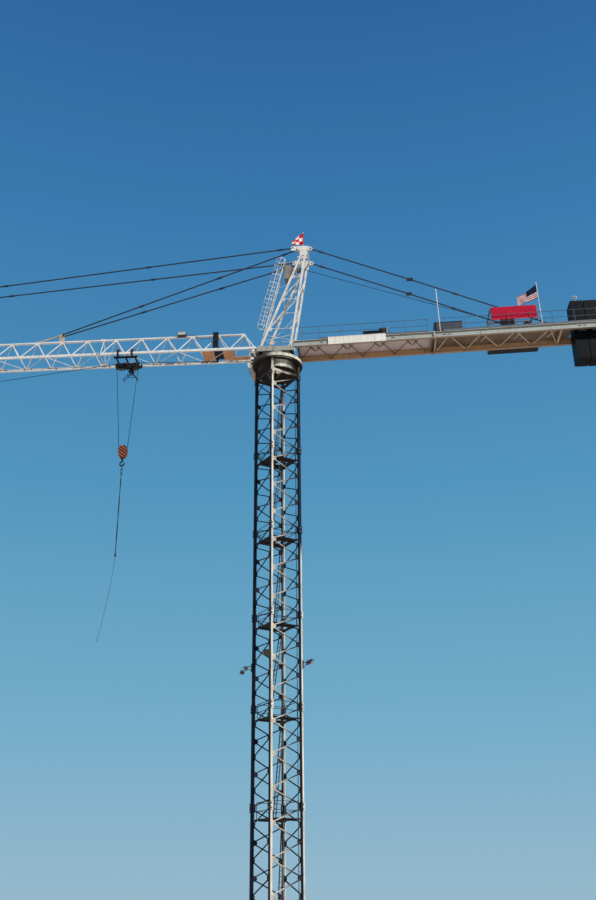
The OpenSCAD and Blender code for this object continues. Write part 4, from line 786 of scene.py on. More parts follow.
for y, out in ((CAB_Y0, -1), (CAB_Y1, 1)):
    low, high = sorted((y, y + out * 0.0014))
    for x0, x1 in WINDOWS:
        for z in (SILL, LINTEL + 0.001):
            plate(gasket, (x0 - 0.002, low, z - 0.002), (x1 + 0.002, high, z + 0.001))
        for x in (x0, x1 + 0.001):
            plate(gasket, (x - 0.002, low, SILL), (x + 0.001, high, LINTEL))
finished("cab_window_gaskets", gasket, rubber, "upper", bevel=0.0004)
trim = bmesh.new()
plate(trim, (CAB_X0 + 0.01, CAB_Y0 - 0.003, CAB_Z1 - 0.001), (CAB_X1 + 0.003, CAB_Y1 + 0.003, CAB_Z1 + 0.004))
plate(trim, (CAB_X0 + 0.04, CAB_Y0 + 0.02, CAB_Z1 + 0.0035), (CAB_X1 - 0.03, CAB_Y1 - 0.02, CAB_Z1 + 0.008))
plate(trim, (CAB_X1 - 0.068, CAB_Y1, CAB_Z0 + 0.01), (CAB_X1 - 0.01, CAB_Y1 + 0.0016, CAB_Z0 + 0.078))
finished("cab_roof_and_door", trim, cab_paint, "upper", bevel=0.001)

# The cab's fittings: the door's handle and hinges, the wiper, the seat's foot, the two
# consoles with their levers, and the seat in dark cloth.
gear_paint = painted("gear_paint", (0.055, 0.058, 0.065), dirt=(0.05, 0.042, 0.035), dirt_amount=0.6,
                     rust_amount=0.5, scale=30.0, gloss=0.15)
HANDLE_X = CAB_X1 - 0.062
HINGE_X = CAB_X1 - 0.009
WIPER_FOOT = Vector((CAB_X0 + 0.003, 0.197, 0.09))
WIPER_TIP = Vector((CAB_X0 + 0.01, 0.176, 0.158))
fittings = bmesh.new()
rod(fittings, (HANDLE_X, CAB_Y1 + 0.006, 0.052), (HANDLE_X, CAB_Y1 + 0.006, 0.074), 0.0014, at=CAB)
for z in (0.053, 0.073):
    rod(fittings, (HANDLE_X, CAB_Y1, z), (HANDLE_X, CAB_Y1 + 0.006, z), 0.0012, at=CAB)
for z in (0.016, 0.07):
    rod(fittings, (HINGE_X, CAB_Y1 + 0.002, z - 0.005), (HINGE_X, CAB_Y1 + 0.002, z + 0.005), 0.0018, at=CAB)
rod(fittings, WIPER_FOOT + Vector((-0.004, 0, 0)), WIPER_FOOT + Vector((0.003, 0, 0)), 0.0024, at=CAB)
rod(fittings, WIPER_FOOT + Vector((-0.003, 0, 0)), WIPER_TIP + Vector((-0.003, 0, 0)), 0.0009, at=CAB)
plate(fittings, WIPER_TIP + Vector((-0.0032, -0.0012, -0.03)), WIPER_TIP + Vector((-0.0012, 0.0012, 0.016)),
      CAB)
plate(fittings, (-0.116, 0.166, 0.008), (-0.084, 0.226, 0.016), CAB)
rod(fittings, (-0.1, 0.196, 0.014), (-0.1, 0.196, 0.046), 0.006, at=CAB)
for y in (0.158, 0.222):
    lever = y + 0.007
    plate(fittings, (-0.158, y, 0.008), (-0.122, y + 0.014, 0.066), CAB)
    rod(fittings, (-0.146, lever, 0.064), (-0.15, lever, 0.09), 0.0011, at=CAB)
    rod(fittings, (-0.15, lever, 0.088), (-0.1503, lever, 0.095), 0.0028, sides=12, at=CAB)
finished("cab_fittings", fittings, gear_paint, "upper", bevel=0.0004)
seat_cloth = painted("seat_cloth", (0.035, 0.035, 0.04), dirt=(0.1, 0.09, 0.08), dirt_amount=0.5,
                     rust_amount=0.0, scale=60.0)
BACKREST = Vector((-0.08, 0, 0.05))
lean_back = CAB @ Matrix.Translation(BACKREST) @ turned(8, "Y") @ Matrix.Translation(-BACKREST)
cushions = bmesh.new()
plate(cushions, (-0.122, 0.172, 0.044), (-0.08, 0.22, 0.058), CAB)
plate(cushions, (-0.086, 0.174, 0.05), (-0.074, 0.218, 0.118), lean_back)
for y in (0.164, 0.222):
    plate(cushions, (-0.116, y, 0.074), (-0.084, y + 0.006, 0.079), CAB)
    plate(cushions, (-0.088, y + 0.001, 0.052), (-0.083, y + 0.005, 0.076), CAB)
finished("cab_seat", cushions, seat_cloth, "upper", bevel=0.003)

# The tower head: four white box legs on foot plates, tied by thin bars and crowned by two
# curved beams that carry the ties' pins. Rust and soot mark the white paint.
APEX = 4.7803
HEAD_Y = 0.095
FRONT_LEG = (Vector((-0.113, 0, PLATFORM_TOP + 0.008)), Vector((0.193, 0, APEX - 0.05)), 1)
REAR_LEG = (Vector((0.104, 0, PLATFORM_TOP + 0.008)), Vector((0.222, 0, APEX - 0.044)), -1)
head_paint = painted("head_paint", (0.74, 0.745, 0.73), dirt=(0.24, 0.2, 0.16), rust=(0.26, 0.11, 0.045),
                     dirt_amount=0.5, rust_amount=0.85, underside=0.25, scale=9.0)
paint_nodes(head_paint, "head_side_frames", "head_bracing", "apex_beam", "head_ladder", "pennant_pole")


def on_leg(leg, side, height):
    foot, top, _ = leg
    spot = foot + (top - foot) * ((PLATFORM_TOP + height - foot.z) / (top.z - foot.z))
    lean = Matrix.Rotation(atan2(top.x - foot.x, top.z - foot.z), 4, "Y")
    return Matrix.Translation((spot.x, side * HEAD_Y, spot.z)) @ lean


head_plates, head_bolts, foot_pins = bmesh.new(), [], []
for side in (-1, 1):
    for leg in (FRONT_LEG, REAR_LEG):
        inner = leg[2]
        for height in (0.162, 0.419, 0.62):
            node = on_leg(leg, side, height)
            block(head_plates, (inner * 0.015, 0, 0), (0.016, 0.0028, 0.03), node)
            for dz in (-0.008, 0.008):
                head_bolts.append((node @ Vector((inner * 0.0155, -0.0026, dz)), (0, -1, 0)))
        splice = on_leg(leg, side, 0.52)
        for s in (-1, 1):
            block(head_plates, (0, s * 0.0085, 0), (0.013, 0.0024, 0.056), splice)
            for dz in (-0.02, -0.008, 0.008, 0.02):
                head_bolts.append((splice @ Vector((0, s * 0.0096, dz)), (0, s, 0)))
    for x in (FRONT_LEG[0].x, REAR_LEG[0].x):
        for dx in (-0.012, 0.01):
            for dy in (-0.0095, 0.0095):
                head_bolts.append(((x + dx, side * HEAD_Y + dy, PLATFORM_TOP + 0.0158), (0, 0, 1)))
        foot_pins.append(((x, side * HEAD_Y - 0.0135, PLATFORM_TOP + 0.011), (0, 1, 0)))
finished("head_gussets", head_plates, head_paint, "upper", bevel=0.0004)
repeated("head_bolts", HEX_HEADS, head_bolts, 0.0022, 0.0018, bolt_steel, "upper")
pin_steel = painted("pin_steel", (0.06, 0.055, 0.055), dirt=(0.03, 0.026, 0.024), rust=(0.18, 0.07, 0.03),
                    dirt_amount=0.5, rust_amount=0.8, scale=50.0, gloss=0.15)
repeated("head_foot_pins", ROUND_PINS, foot_pins, 0.0042, 0.027, pin_steel, "upper")
OUTER_EYE, INNER_EYE, REAR_EYE = (0.125, APEX + 0.006), (0.156, APEX - 0.012), (0.263, APEX - 0.007)
pin_heads, pin_collars = [], []
for x, z in (OUTER_EYE, INNER_EYE, REAR_EYE):
    for side in (-1, 1):
        pin_heads.append(((x, side * (HEAD_Y + 0.008), z), (0, side, 0)))
        pin_collars.append(((x, side * (HEAD_Y - 0.0125), z), (0, side, 0)))
repeated("tie_pin_heads", ROUND_PINS, pin_heads, 0.0062, 0.003, pin_steel, "upper")
repeated("tie_pin_collars", ROUND_PINS, pin_collars, 0.005, 0.0035, pin_steel, "upper")


# The head sheave is a grooved wheel of bare steel, darkened by soot and grease. The jib, the
# trolley and the hook block have the same kind of wheel.
def grooved_wheel(work, centre, radius, width, groove, sides=40, hub=0.006):
    half = width / 2
    flank = [(-half, hub), (-half, radius * 0.8), (-width * 0.4, radius * 0.84), (-half, radius * 0.9),
             (-half, radius), (-width * 0.3, radius)]
    profile = flank + [(0, radius - groove)] + [(-y, r) for y, r in reversed(flank)]
    rings = []
    for a in circle(sides):
        rings.append([work.verts.new(Vector(centre) + Vector((r * cos(a), y, r * sin(a))))
                      for y, r in profile])
    for here, there in zip(rings, rings[1:] + rings[:1]):
        for j in range(len(profile)):
            m = (j + 1) % len(profile)
            work.faces.new((here[j], here[m], there[m], there[j]))
    outward(work)


sheave_steel = painted("sheave_steel", (0.13, 0.125, 0.12), dirt=(0.02, 0.018, 0.016), dirt_amount=0.8,
                       rust_amount=0.4, scale=45.0, metallic=0.6)
head_wheel = bmesh.new()
grooved_wheel(head_wheel, HEAD_SHEAVE, 0.02, 0.013, groove=0.0028)
finished("head_sheave_rim", head_wheel, sheave_steel, "upper")

# The apex basket is a folded sheet bin where the fitter stands to reach the pins, brown
# with old paint, with a hand rail round its top.
BASKET_X0, BASKET_X1 = 0.064, 0.119
BASKET_Y = 0.0395
basket_paint = painted("basket_paint", (0.3, 0.235, 0.185), dirt=(0.1, 0.075, 0.06), dirt_amount=0.7,
                       rust_amount=0.9, underside=0.7, scale=18.0)
paint_nodes(basket_paint, "head_basket")
basket_trim = bmesh.new()
rim = [(BASKET_X0, APEX - 0.103), (BASKET_X1, APEX - 0.115)]
for side in (-1, 1):
    ends = [(x, side * BASKET_Y, z) for x, z in rim]
    rod(basket_trim, *ends, 0.0016, sides=8)
    for t in (0.25, 0.6):
        x, y = BASKET_X0 + (BASKET_X1 - BASKET_X0) * t, side * (BASKET_Y + 0.0003)
        plate(basket_trim, (x - 0.0008, y - 0.001, APEX - 0.205), (x + 0.0008, y + 0.001, APEX - 0.112))
for x, z in rim:
    rod(basket_trim, (x, -BASKET_Y, z), (x, BASKET_Y, z), 0.0016, sides=8)
finished("basket_rim", basket_trim, basket_paint, "upper")


# A short lifting chain hangs slack from the head, left there by the riggers. Its welded
# links stand crosswise in turn.
def chain_links(path, pitch, wire):
    def at(distance):
        for a, b in zip(path, path[1:]):
            step = (b - a).length
            if distance <= step:
                return a + (b - a) * (distance / step), (b - a).normalized()
            distance -= step
        return path[-1], (path[-1] - path[-2]).normalized()

    links = bmesh.new()
    half, width = pitch * 0.62, pitch * 0.34
    for n in range(int(route_length(path) / pitch)):
        centre, along = at((n + 0.5) * pitch)
        side = along.cross(Vector((0, 1, 0))).normalized()
        if n % 2:
            side = along.cross(side).normalized()
        other = along.cross(side)
        rings = []
        for a in circle(12):
            spot = centre + along * half * cos(a) + side * width * sin(a)
            out = (along * cos(a) * width + side * sin(a) * half).normalized()
            rings.append([links.verts.new(spot + (out * cos(b) + other * sin(b)) * wire) for b in circle(4)])
        for here, there in zip(rings, rings[1:] + rings[:1]):
            for j in range(4):
                m = (j + 1) % 4
                links.faces.new((here[j], here[m], there[m], there[j]))
    outward(links)
    return links


CHAIN_Y = -0.084
chain_drop = [(0.208, 0.094), (0.212, 0.141), (0.203, 0.177), (0.194, 0.177), (0.1935, 0.222)]
chain_path = smooth_route([(x, CHAIN_Y, APEX - drop) for x, drop in chain_drop], 6)
finished("head_chain", chain_links(chain_path, 0.0052, 0.0009), pin_steel, "upper")

# The ties: pairs of flat steel bars in dark, rust-stained paint, with pinned eyes, bolted
# splice plates along their length and pale brackets on the jib's top chord.
OUTER_PIN = (-6.5503, 4.1623)
INNER_PIN = (-1.6253, 4.1503)
PIN_Y = 0.014
REAR_BEND, REAR_FOOT = (1.0, 4.4523), (1.985, 4.0123)
tie_paint = painted("tie_paint", (0.022, 0.026, 0.04), dirt=(0.045, 0.038, 0.035), rust=(0.14, 0.055, 0.025),
                    dirt_amount=0.4, rust_amount=0.5, scale=9.0, gloss=0.1)
marked(tie_paint, (0.47, 0.41, 0.31), ("either side", (0, 1, 0), 0.0098, 0.0096))
paint_nodes(tie_paint, "jib_inner_ties", "jib_outer_ties", "counter_jib_ties")
splices, splice_bolts = bmesh.new(), []


def splice_tie(head, foot, head_y, foot_y, distances, half, holes):
    a, b = Vector((head[0], head_y, head[1])), Vector((foot[0], foot_y, foot[1]))
    along = (b - a).normalized()
    turn = along.to_track_quat("X", "Z").to_matrix().to_4x4()
    for distance in distances:
        at = Matrix.Translation(a + along * distance) @ turn
        for s in (-1, 1):
            block(splices, (0, s * 0.003, 0), (half * 2, 0.002, 0.013), at)
        for dx in (-holes[1], -holes[0], holes[0], holes[1]):
            splice_bolts.append(seat(at, (dx, -0.0038, 0), (0, -1, 0)))


for head, foot, joints in ((OUTER_EYE, OUTER_PIN, 6), (INNER_EYE, INNER_PIN, 3)):
    for side in (-1, 1):
        run = hypot(foot[0] - head[0], foot[1] - head[1], HEAD_Y - PIN_Y)
        distances = [0.098] + [run * k / joints for k in range(1, joints)]
        splice_tie(head, foot, side * HEAD_Y, side * PIN_Y, distances, 0.02, (0.006, 0.014))
for side in (-1, 1):
    for head, foot, distances in ((REAR_EYE, REAR_BEND, [0.085]), (REAR_BEND, REAR_FOOT, [0.36, 0.72])):
        splice_tie(head, foot, side * HEAD_Y, side * HEAD_Y, distances, 0.018, (0.005, 0.012))
finished("tie_splices", splices, tie_paint, "upper", bevel=0.0004)
repeated("tie_splice_bolts", HEX_HEADS, splice_bolts, 0.002, 0.0014, bolt_steel, "upper")

# The jib: a white triangular lattice in seven sections. Each section ends in lugs with black
# pins, thin plates stiffen the nodes, and the paint is streaked where water has run.
JIB_Z = 3.9143
TOP_Z = 4.0883
CHORD_Y = 0.0938
WEB_Y = 0.0878
JOINTS = [1.31425 + 1.183 * n for n in range(6)]
jib_paint = painted("jib_paint", (0.76, 0.765, 0.75), dirt=(0.27, 0.23, 0.19), rust=(0.27, 0.12, 0.05),
                    dirt_amount=0.42, rust_amount=0.75, underside=0.15, scale=7.0)
paint_nodes(jib_paint, *["jib_section_%d" % n for n in range(1, 8)])
joint_lugs, joint_pins, lug_bolts = bmesh.new(), [], []
for x in JOINTS:
    for side in (-1, 1):
        y = side * CHORD_Y
        for dz in (-0.0055, 0.0055):
            block(joint_lugs, (-x, y, JIB_Z + dz), (0.04, 0.0176, 0.0044))
        for dx in (-0.0085, 0.0085):
            block(joint_lugs, (-x + dx, y, JIB_Z), (0.009, 0.023, 0.018))
            joint_pins.append(((-x + dx, y - 0.014, JIB_Z), (0, 1, 0)))
    for dx in (-0.0075, 0.0075):
        block(joint_lugs, (-x + dx, 0, TOP_Z - 0.0005), (0.009, 0.021, 0.02))
    for y in (-0.0078, 0.0078):
        for dz in (-0.0078, 0.007):
            lug_bolts.append(((-x - 0.0138, y, TOP_Z + dz), (1, 0, 0)))
finished("jib_joint_lugs", joint_lugs, jib_paint, "upper", bevel=0.0005)
repeated("jib_joint_pins", ROUND_PINS, joint_pins, 0.0044, 0.028, pin_steel, "upper")
repeated("jib_top_joint_bolts", HEX_HEADS, lug_bolts, 0.0017, 0.0276, bolt_steel, "upper")

# Gusset plates stiffen each node of the lattice, lying in the plane of its two bars.
PANEL = 0.1935
FIRST_NODE = 0.25
LOW_HALF, HIGH_HALF = 0.019, 0.018
web_rise = hypot(TOP_Z - JIB_Z, WEB_Y)
low_gusset = [(-LOW_HALF, 0.007), (LOW_HALF, 0.007), (LOW_HALF * 0.6, 0.021), (-LOW_HALF * 0.6, 0.021)]
high_gusset = [(-HIGH_HALF * 0.6, web_rise - 0.02), (HIGH_HALF * 0.6, web_rise - 0.02),
               (HIGH_HALF, web_rise - 0.007), (-HIGH_HALF, web_rise - 0.007)]
lattice = [(FIRST_NODE + PANEL * (i + 0.5), low_gusset) for i in range(5)]
lattice += [(FIRST_NODE + PANEL * i, high_gusset) for i in range(6)]
for joint in JOINTS[:5]:
    for i in range(6):
        first = joint + 0.022
        lattice += [(first + PANEL * i, low_gusset), (first + PANEL * (i + 0.5), high_gusset)]
gussets = bmesh.new()
for x, outline in lattice:
    for side in (-1, 1):
        lean = Matrix.Rotation(side * atan2(WEB_Y, TOP_Z - JIB_Z), 4, "X")
        cut_plate(gussets, outline, 0.001, Matrix.Translation((-x, side * WEB_Y, JIB_Z)) @ lean)
outward(gussets)
finished("jib_gussets", gussets, jib_paint, "upper")

# The jib's foot pins, the foot sheave and the tip sheave: black pins and grooved wheels.
# Rubber buffers stop the trolley at the tip.
foot_pins = [((-0.149, s * CHORD_Y - 0.013, 3.8933), (0, 1, 0)) for s in (-1, 1)]
repeated("jib_foot_pins", ROUND_PINS, foot_pins, 0.0062, 0.026, pin_steel, "upper")
jib_wheels = bmesh.new()
grooved_wheel(jib_wheels, JIB_FOOT_SHEAVE, 0.014, 0.011, groove=0.0022, sides=32)
grooved_wheel(jib_wheels, (-7.47525, 0, 3.8923), 0.015, 0.013, groove=0.0024, sides=32)
finished("jib_sheave_rims", jib_wheels, sheave_steel, "upper")
BUFFER_X = -7.446
BUFFER_Z = JIB_Z + 0.0145
buffers = bmesh.new()
for s in (-1, 1):
    y = s * CHORD_Y
    plate(buffers, (BUFFER_X - 0.01, y - 0.006, JIB_Z + 0.0085), (BUFFER_X, y + 0.006, JIB_Z + 0.02))
    rod(buffers, (BUFFER_X, y, BUFFER_Z), (BUFFER_X + 0.006, y, BUFFER_Z), 0.005, sides=16)
finished("jib_end_buffers", buffers, rubber, "upper", bevel=0.0005)

# The walkway beside the travel winch is open grating in brown, rusted frames: rows of thin
# bars that lie across it.
WALK_Y = 0.0758
WALK_Z = 3.922
GRATE_PITCH = 0.0042
grating_paint = painted("grating_paint", (0.62, 0.3, 0.13), dirt=(0.3, 0.15, 0.08), rust=(0.24, 0.09, 0.035),
                        dirt_amount=0.6, rust_amount=0.8, scale=22.0)
paint_nodes(grating_paint, "jib_floor")
for name, y, bays in (("jib_grating_46", 0.028, [(-0.314, -0.206)]),
                      ("jib_grating_150", -WALK_Y, [(-0.555, -0.465), (-0.399, -0.313)])):
    bars = []
    for x0, x1 in bays:
        n = int((x1 - x0) / GRATE_PITCH)
        bars += [((x0 + (x1 - x0) * i / n, y + 0.001, WALK_Z), (0, 1, 0)) for i in range(1, n)]
    repeated(name, GRATE_BARS, bars, 0.0009, WALK_Y - y - 0.002, grating_paint, "upper")

# The travel winch: a grooved drum wound with rope, its motor and brake, and a tall switch
# cabinet with a door, hinges and cable glands.
WINCH_X, WINCH_Z = -0.45, 3.9559
winch_dark = painted("winch_dark", (0.012, 0.015, 0.02), dirt=(0.035, 0.03, 0.028), rust=(0.14, 0.06, 0.03),
                     dirt_amount=0.5, rust_amount=0.5, scale=24.0, gloss=0.08)
paint_nodes(winch_dark, "trolley_winch")


def drum_windings(name, centre, half, radius, wire, at=Matrix()):
    steps = int(2 * half / (wire * 2.02)) * 20
    r = radius + wire * 0.9
    path = []
    for i in range(steps + 1):
        a = 2 * pi * i / 20
        path.append(at @ (Vector(centre) + Vector((r * cos(a), half * (2 * i / steps - 1), r * sin(a)))))
    swept(name, path, wire, greased_rope, "upper", sides=5)


drum_windings("travel_rope_windings", (WINCH_X, 0.002, WINCH_Z), 0.024, 0.022, 0.0012)
travel = bmesh.new()
for y0, y1, radius, sides in ((-0.0297, -0.0273, 0.0275, 28), (0.0313, 0.0337, 0.0275, 28),
                              (0.033, 0.052, 0.015, 20), (0.0515, 0.06, 0.0125, 20)):
    rod(travel, (WINCH_X, y0, WINCH_Z), (WINCH_X, y1, WINCH_Z), radius, sides=sides)
for i in range(12):
    spin = Matrix.Translation((WINCH_X, 0, WINCH_Z)) @ turned(30 * i, "Y")
    plate(travel, (0.014, 0.035, -0.0006), (0.017, 0.05, 0.0006), spin)
plate(travel, (-0.4715, -0.0675, 3.936), (-0.4385, -0.0658, 4.074))
plate(travel, (-0.4755, -0.0665, 4.0795), (-0.4345, -0.0335, 4.0825))
for z in (3.95, 4.005, 4.06):
    rod(travel, (-0.4725, -0.0682, z - 0.004), (-0.4725, -0.0682, z + 0.004), 0.0013, sides=8)
plate(travel, (-0.4425, -0.0692, 4.0), (-0.4405, -0.0672, 4.014))
for x in (-0.466, -0.456, -0.446):
    rod(travel, (x, -0.05, 3.9262), (x, -0.05, 3.933), 0.0028, sides=12)
finished("travel_winch_parts", travel, winch_dark, "upper", bevel=0.0005)

# A flood light on the top chord lights the walkway: a cast, ribbed housing with a framed
# pane in a bracket. Its cable comes off the switch cabinet.
jib_lamp, jib_pane = bmesh.new(), bmesh.new()
tilt = Matrix.Translation((-0.714, -0.03, 4.094)) @ turned(-28, "X")
plate(jib_lamp, (-0.736, -0.013, 4.0965), (-0.692, -0.009, 4.121))
plate(jib_lamp, (-0.73, -0.016, 4.099), (-0.698, -0.011, 4.103))
plate(jib_lamp, (-0.03, -0.013, -0.024), (0.03, 0.01, 0.02), tilt)
for i in range(9):
    plate(jib_lamp, (-0.026 + 0.0064 * i, 0.009, -0.02), (-0.0245 + 0.0064 * i, 0.014, 0.016), tilt)
for z in (-0.025, 0.021):
    block(jib_lamp, (0, -0.01375, z), (0.066, 0.0035, 0.004), tilt)
for s in (-1, 1):
    block(jib_lamp, (s * 0.031, -0.01375, -0.002), (0.004, 0.0035, 0.046), tilt)
    block(jib_lamp, (s * 0.0325, 0.009, 0), (0.0024, 0.026, 0.008), tilt)
finished("jib_lamp_body", jib_lamp, lamp_cast, "upper", bevel=0.0007)
plate(jib_pane, (-0.0295, -0.015, -0.0235), (0.0295, -0.012, 0.0195), tilt)
finished("jib_lamp_pane", jib_pane, lamp_pane, "upper", bevel=0.0004)
lamp_lead = [(-0.684, -0.018, 4.096), (-0.655, -0.011, 4.1), (-0.62, -0.01, 4.0985), (-0.601, -0.012, 4.078),
             (-0.575, -0.03, 4.058), (-0.554, -0.046, 4.041), (-0.5, -0.055, 4.036), (-0.4755, -0.056, 4.04)]
swept("jib_lamp_cable", smooth_route(lamp_lead, 5), 0.0018, rubber, "upper", sides=7)

# The counter-jib: two rolled girders, cross beams and zigzag bars, grey-cream on the near face, with a
# painted tan glow of light reflected from the ground on the shaded faces behind it, and brown below, bolted
# at one joint and tipped up a little to its tail.
# Its sizes run along the girders from the slewing axis, and CJ tips them up.
CJ_FOOT = Vector((0.127, 0, 3.8983))
CJ_RISE = 1.55
CJ = Matrix.Translation(CJ_FOOT) @ turned(-CJ_RISE, "Y") @ Matrix.Translation((-CJ_FOOT.x, 0, 0))
CJ_JOINT = 1.15
DECK = 0.047
GIRDER_Y = 0.11
GIRDER_H = 0.047
INNER_Y = 0.107
LENGTHWAYS, CROSSWAYS = (1, 0, 0), (0, 1, 0)
girder_paint_and_reflected_light = painted("girder_paint_and_reflected_light", (0.37, 0.41, 0.39), dirt=(0.2, 0.15, 0.11), rust=(0.23, 0.1, 0.045),
                       dirt_amount=0.45, rust_amount=0.8, scale=8.0)
# Painted reflected light: tan on every face behind the near face stands in for ground light bounced into the
# shade.
marked(girder_paint_and_reflected_light, (0.58, 0.35, 0.19), ("place", CROSSWAYS, -0.1115, -0.1105))
marked(girder_paint_and_reflected_light, (0.32, 0.2, 0.12), ("facing", (0, 0, -1), 0.6, 0.8))
marked(girder_paint_and_reflected_light, (0.085, 0.055, 0.04), ("either side", CROSSWAYS, 0.0985, 0.0975),
       ("place", LENGTHWAYS, CJ_JOINT + 0.002, CJ_JOINT))
marked(girder_paint_and_reflected_light, (0.66, 0.52, 0.32), ("either side", CROSSWAYS, 0.0985, 0.0975),
       ("place", LENGTHWAYS, CJ_JOINT, CJ_JOINT + 0.002))


def alternate(places):
    return [(x, -1 if i % 2 else 1) for i, x in enumerate(places)]


# The girders are braced by one zigzag of angle bars from girder to girder at a pitch of
# 0.24 m, with shorter struts between and a beam before the ballast.
FRONT_ZIGZAG = alternate([0.16, 0.278, 0.396, 0.515, 0.632, 0.749, 0.869, 0.984, 1.105])
REAR_ZIGZAG = alternate([1.174, 1.256, 1.396, 1.49, 1.636, 1.734, 1.879, 1.979, 2.06])
frame_work = bmesh.new()


def angle_bar(start, end, leg=0.005, thick=0.0011):
    start, end = Vector(start), Vector(end)
    run = end - start
    turn = CJ @ Matrix.Translation(start) @ Matrix.Rotation(atan2(run.y, run.x), 4, "Z")
    plate(frame_work, (0, -leg / 2, -thick), (run.length, leg / 2, 0), turn)
    plate(frame_work, (0, -leg / 2, 0), (run.length, -leg / 2 + thick, leg * 0.9), turn)


for side in (-1, 1):
    y = side * GIRDER_Y
    for z0, z1, half in ((0, 0.004, 0.011), (0.003, 0.044, 0.002), (0.043, GIRDER_H, 0.011)):
        plate(frame_work, (CJ_FOOT.x + 0.0006, y - half, z0), (2.5, y + half, z1), CJ)
    for x0, x1 in ((CJ_JOINT - 0.006, CJ_JOINT - 0.0003), (CJ_JOINT + 0.0003, CJ_JOINT + 0.006)):
        plate(frame_work, (x0, y - 0.014, -0.004), (x1, y + 0.014, GIRDER_H + 0.004), CJ)
for x in (0.157, 1.134, 1.16, 2.064, 2.476):
    plate(frame_work, (x, -0.109, 0.008), (x + 0.006, 0.109, 0.0424), CJ)
    plate(frame_work, (x - 0.004, -0.109, 0.008), (x + 0.006, 0.109, 0.0095), CJ)
for track in (FRONT_ZIGZAG, REAR_ZIGZAG):
    for (x0, s0), (x1, s1) in zip(track, track[1:]):
        z = 0.0146 if s0 > 0 else 0.013
        angle_bar((x0, s0 * INNER_Y, z), (x1, s1 * INNER_Y, z))
for i in range(4):
    x = 0.207 + 0.237 * i
    angle_bar((x, -INNER_Y, 0.029), (x + 0.074, 0.02, 0.029), 0.006)
    angle_bar((x + 0.084, 0.02, 0.031), (x + 0.149, -INNER_Y, 0.031), 0.0045)
for x in (1.5, 1.74, 1.985):
    angle_bar((x, 0.03, 0.029), (x + 0.062, -INNER_Y, 0.029), 0.0045)
girder_frame = finished("girder_frame", frame_work, girder_paint_and_reflected_light, "upper", bevel=0.0003)
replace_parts(girder_frame, "counter_jib")

# Cleats under the zigzag's ends, drain slots in the web, and the bolts: dark ones through
# the joint's flanges and painted ones through the webs.
cleats, slots, girder_bolts, web_bolts = bmesh.new(), bmesh.new(), [], []
for x, s in FRONT_ZIGZAG[1:] + REAR_ZIGZAG[:-1]:
    plate(cleats, (x - 0.009, s * INNER_Y - 0.005, 0.01), (x + 0.009, s * INNER_Y + 0.0012, 0.0118), CJ)
finished("girder_cleats", cleats, girder_paint_and_reflected_light, "upper", bevel=0.0003)
for x in (0.333, 0.85, 1.22, 1.256, 2.19, 2.226):
    block(slots, (x, -0.11235, 0.0235), (0.022, 0.0009, 0.007), CJ)
finished("girder_slots", slots, rubber, "upper")
for side in (-1, 1):
    for x in (CJ_JOINT - 0.013, CJ_JOINT + 0.0095):
        for dy in (-0.0105, 0.0105):
            for z in (0.004, 0.016, 0.03, 0.044):
                girder_bolts.append(seat(CJ, (x, side * GIRDER_Y + dy, z), LENGTHWAYS))
for x, s in FRONT_ZIGZAG + REAR_ZIGZAG:
    for dx in (-0.006, 0.014):
        for z in (0.012, 0.024, 0.036):
            web_bolts.append(seat(CJ, (x + dx, s * (GIRDER_Y + 0.002), z), (0, s, 0)))
white_bolt = painted("white_bolt", (0.6, 0.6, 0.57), dirt_amount=0.5, rust_amount=0.8, scale=60.0)
repeated("girder_joint_bolts", HEX_HEADS, girder_bolts, 0.0028, 0.0035, bolt_steel, "upper")
repeated("girder_web_bolts", HEX_HEADS, web_bolts, 0.0024, 0.0018, white_bolt, "upper")

# Deck and handrails: chequered plates, dusty pink to the joint and dark brown behind it,
# rails of thin blue-grey tube with a collar at each joint, and a toe board along each side.
RAIL_Y = 0.118
RAIL_H = 0.112
RAIL_BAYS = [(0.318, 1.104, 5), (1.22, 2.48, 8)]
RAILS = [DECK + RAIL_H / 2, DECK + RAIL_H - 0.002]
deck_paint = painted("deck_paint", (0.6, 0.48, 0.46), dirt=(0.34, 0.24, 0.21), rust=(0.24, 0.12, 0.07),
                     dirt_amount=0.55, rust_amount=0.7, scale=12.0, gloss=0.15)
marked(deck_paint, (0.12, 0.078, 0.052), ("place", LENGTHWAYS, CJ_JOINT - 0.004, CJ_JOINT))
paint_nodes(deck_paint, "counter_jib_floor")
rail_paint = painted("rail_paint", (0.085, 0.115, 0.155), dirt=(0.08, 0.075, 0.07), dirt_amount=0.5,
                     rust_amount=0.6, scale=20.0)
paint_nodes(rail_paint, "counter_jib_rails")
clamps, feet = [], bmesh.new()
for side in (-1, 1):
    y = side * RAIL_Y
    rod(feet, (0.196, y, DECK), (0.196, y, DECK + RAIL_H), 0.002, sides=8, at=CJ)
    for z in RAILS:
        rod(feet, (0.17, y, z), (0.318, y, z), 0.002, sides=8, at=CJ)
    for x0, x1, bays in RAIL_BAYS:
        for i in range(bays + 1):
            x = x0 + (x1 - x0) * i / bays
            plate(feet, (x - 0.006, y - 0.004, DECK), (x + 0.006, y + 0.003, DECK + 0.0025), CJ)
            clamps += [seat(CJ, (x, y, z - 0.0029)) for z in RAILS]
        plate(feet, (x0, y - 0.001, DECK + 0.003), (x1, y + 0.001, DECK + 0.016), CJ)
finished("rail_feet_and_toe_boards", feet, rail_paint, "upper")
repeated("rail_clamps", ROUND_PINS, clamps, 0.003, 0.0058, rail_paint, "upper")
deck_treads, seams = [], bmesh.new()
for x0, x1 in ((0.163, 1.136), (1.164, 2.146)):
    n = int((x1 - x0) / 0.023)
    for i in range(n):
        for j in range(8):
            x, y = x0 + (i + 0.5) * (x1 - x0) / n, -0.086 + 0.0245 * j
            deck_treads.append(seat(CJ, (x, y, DECK - 0.0002), slant(i, j)))
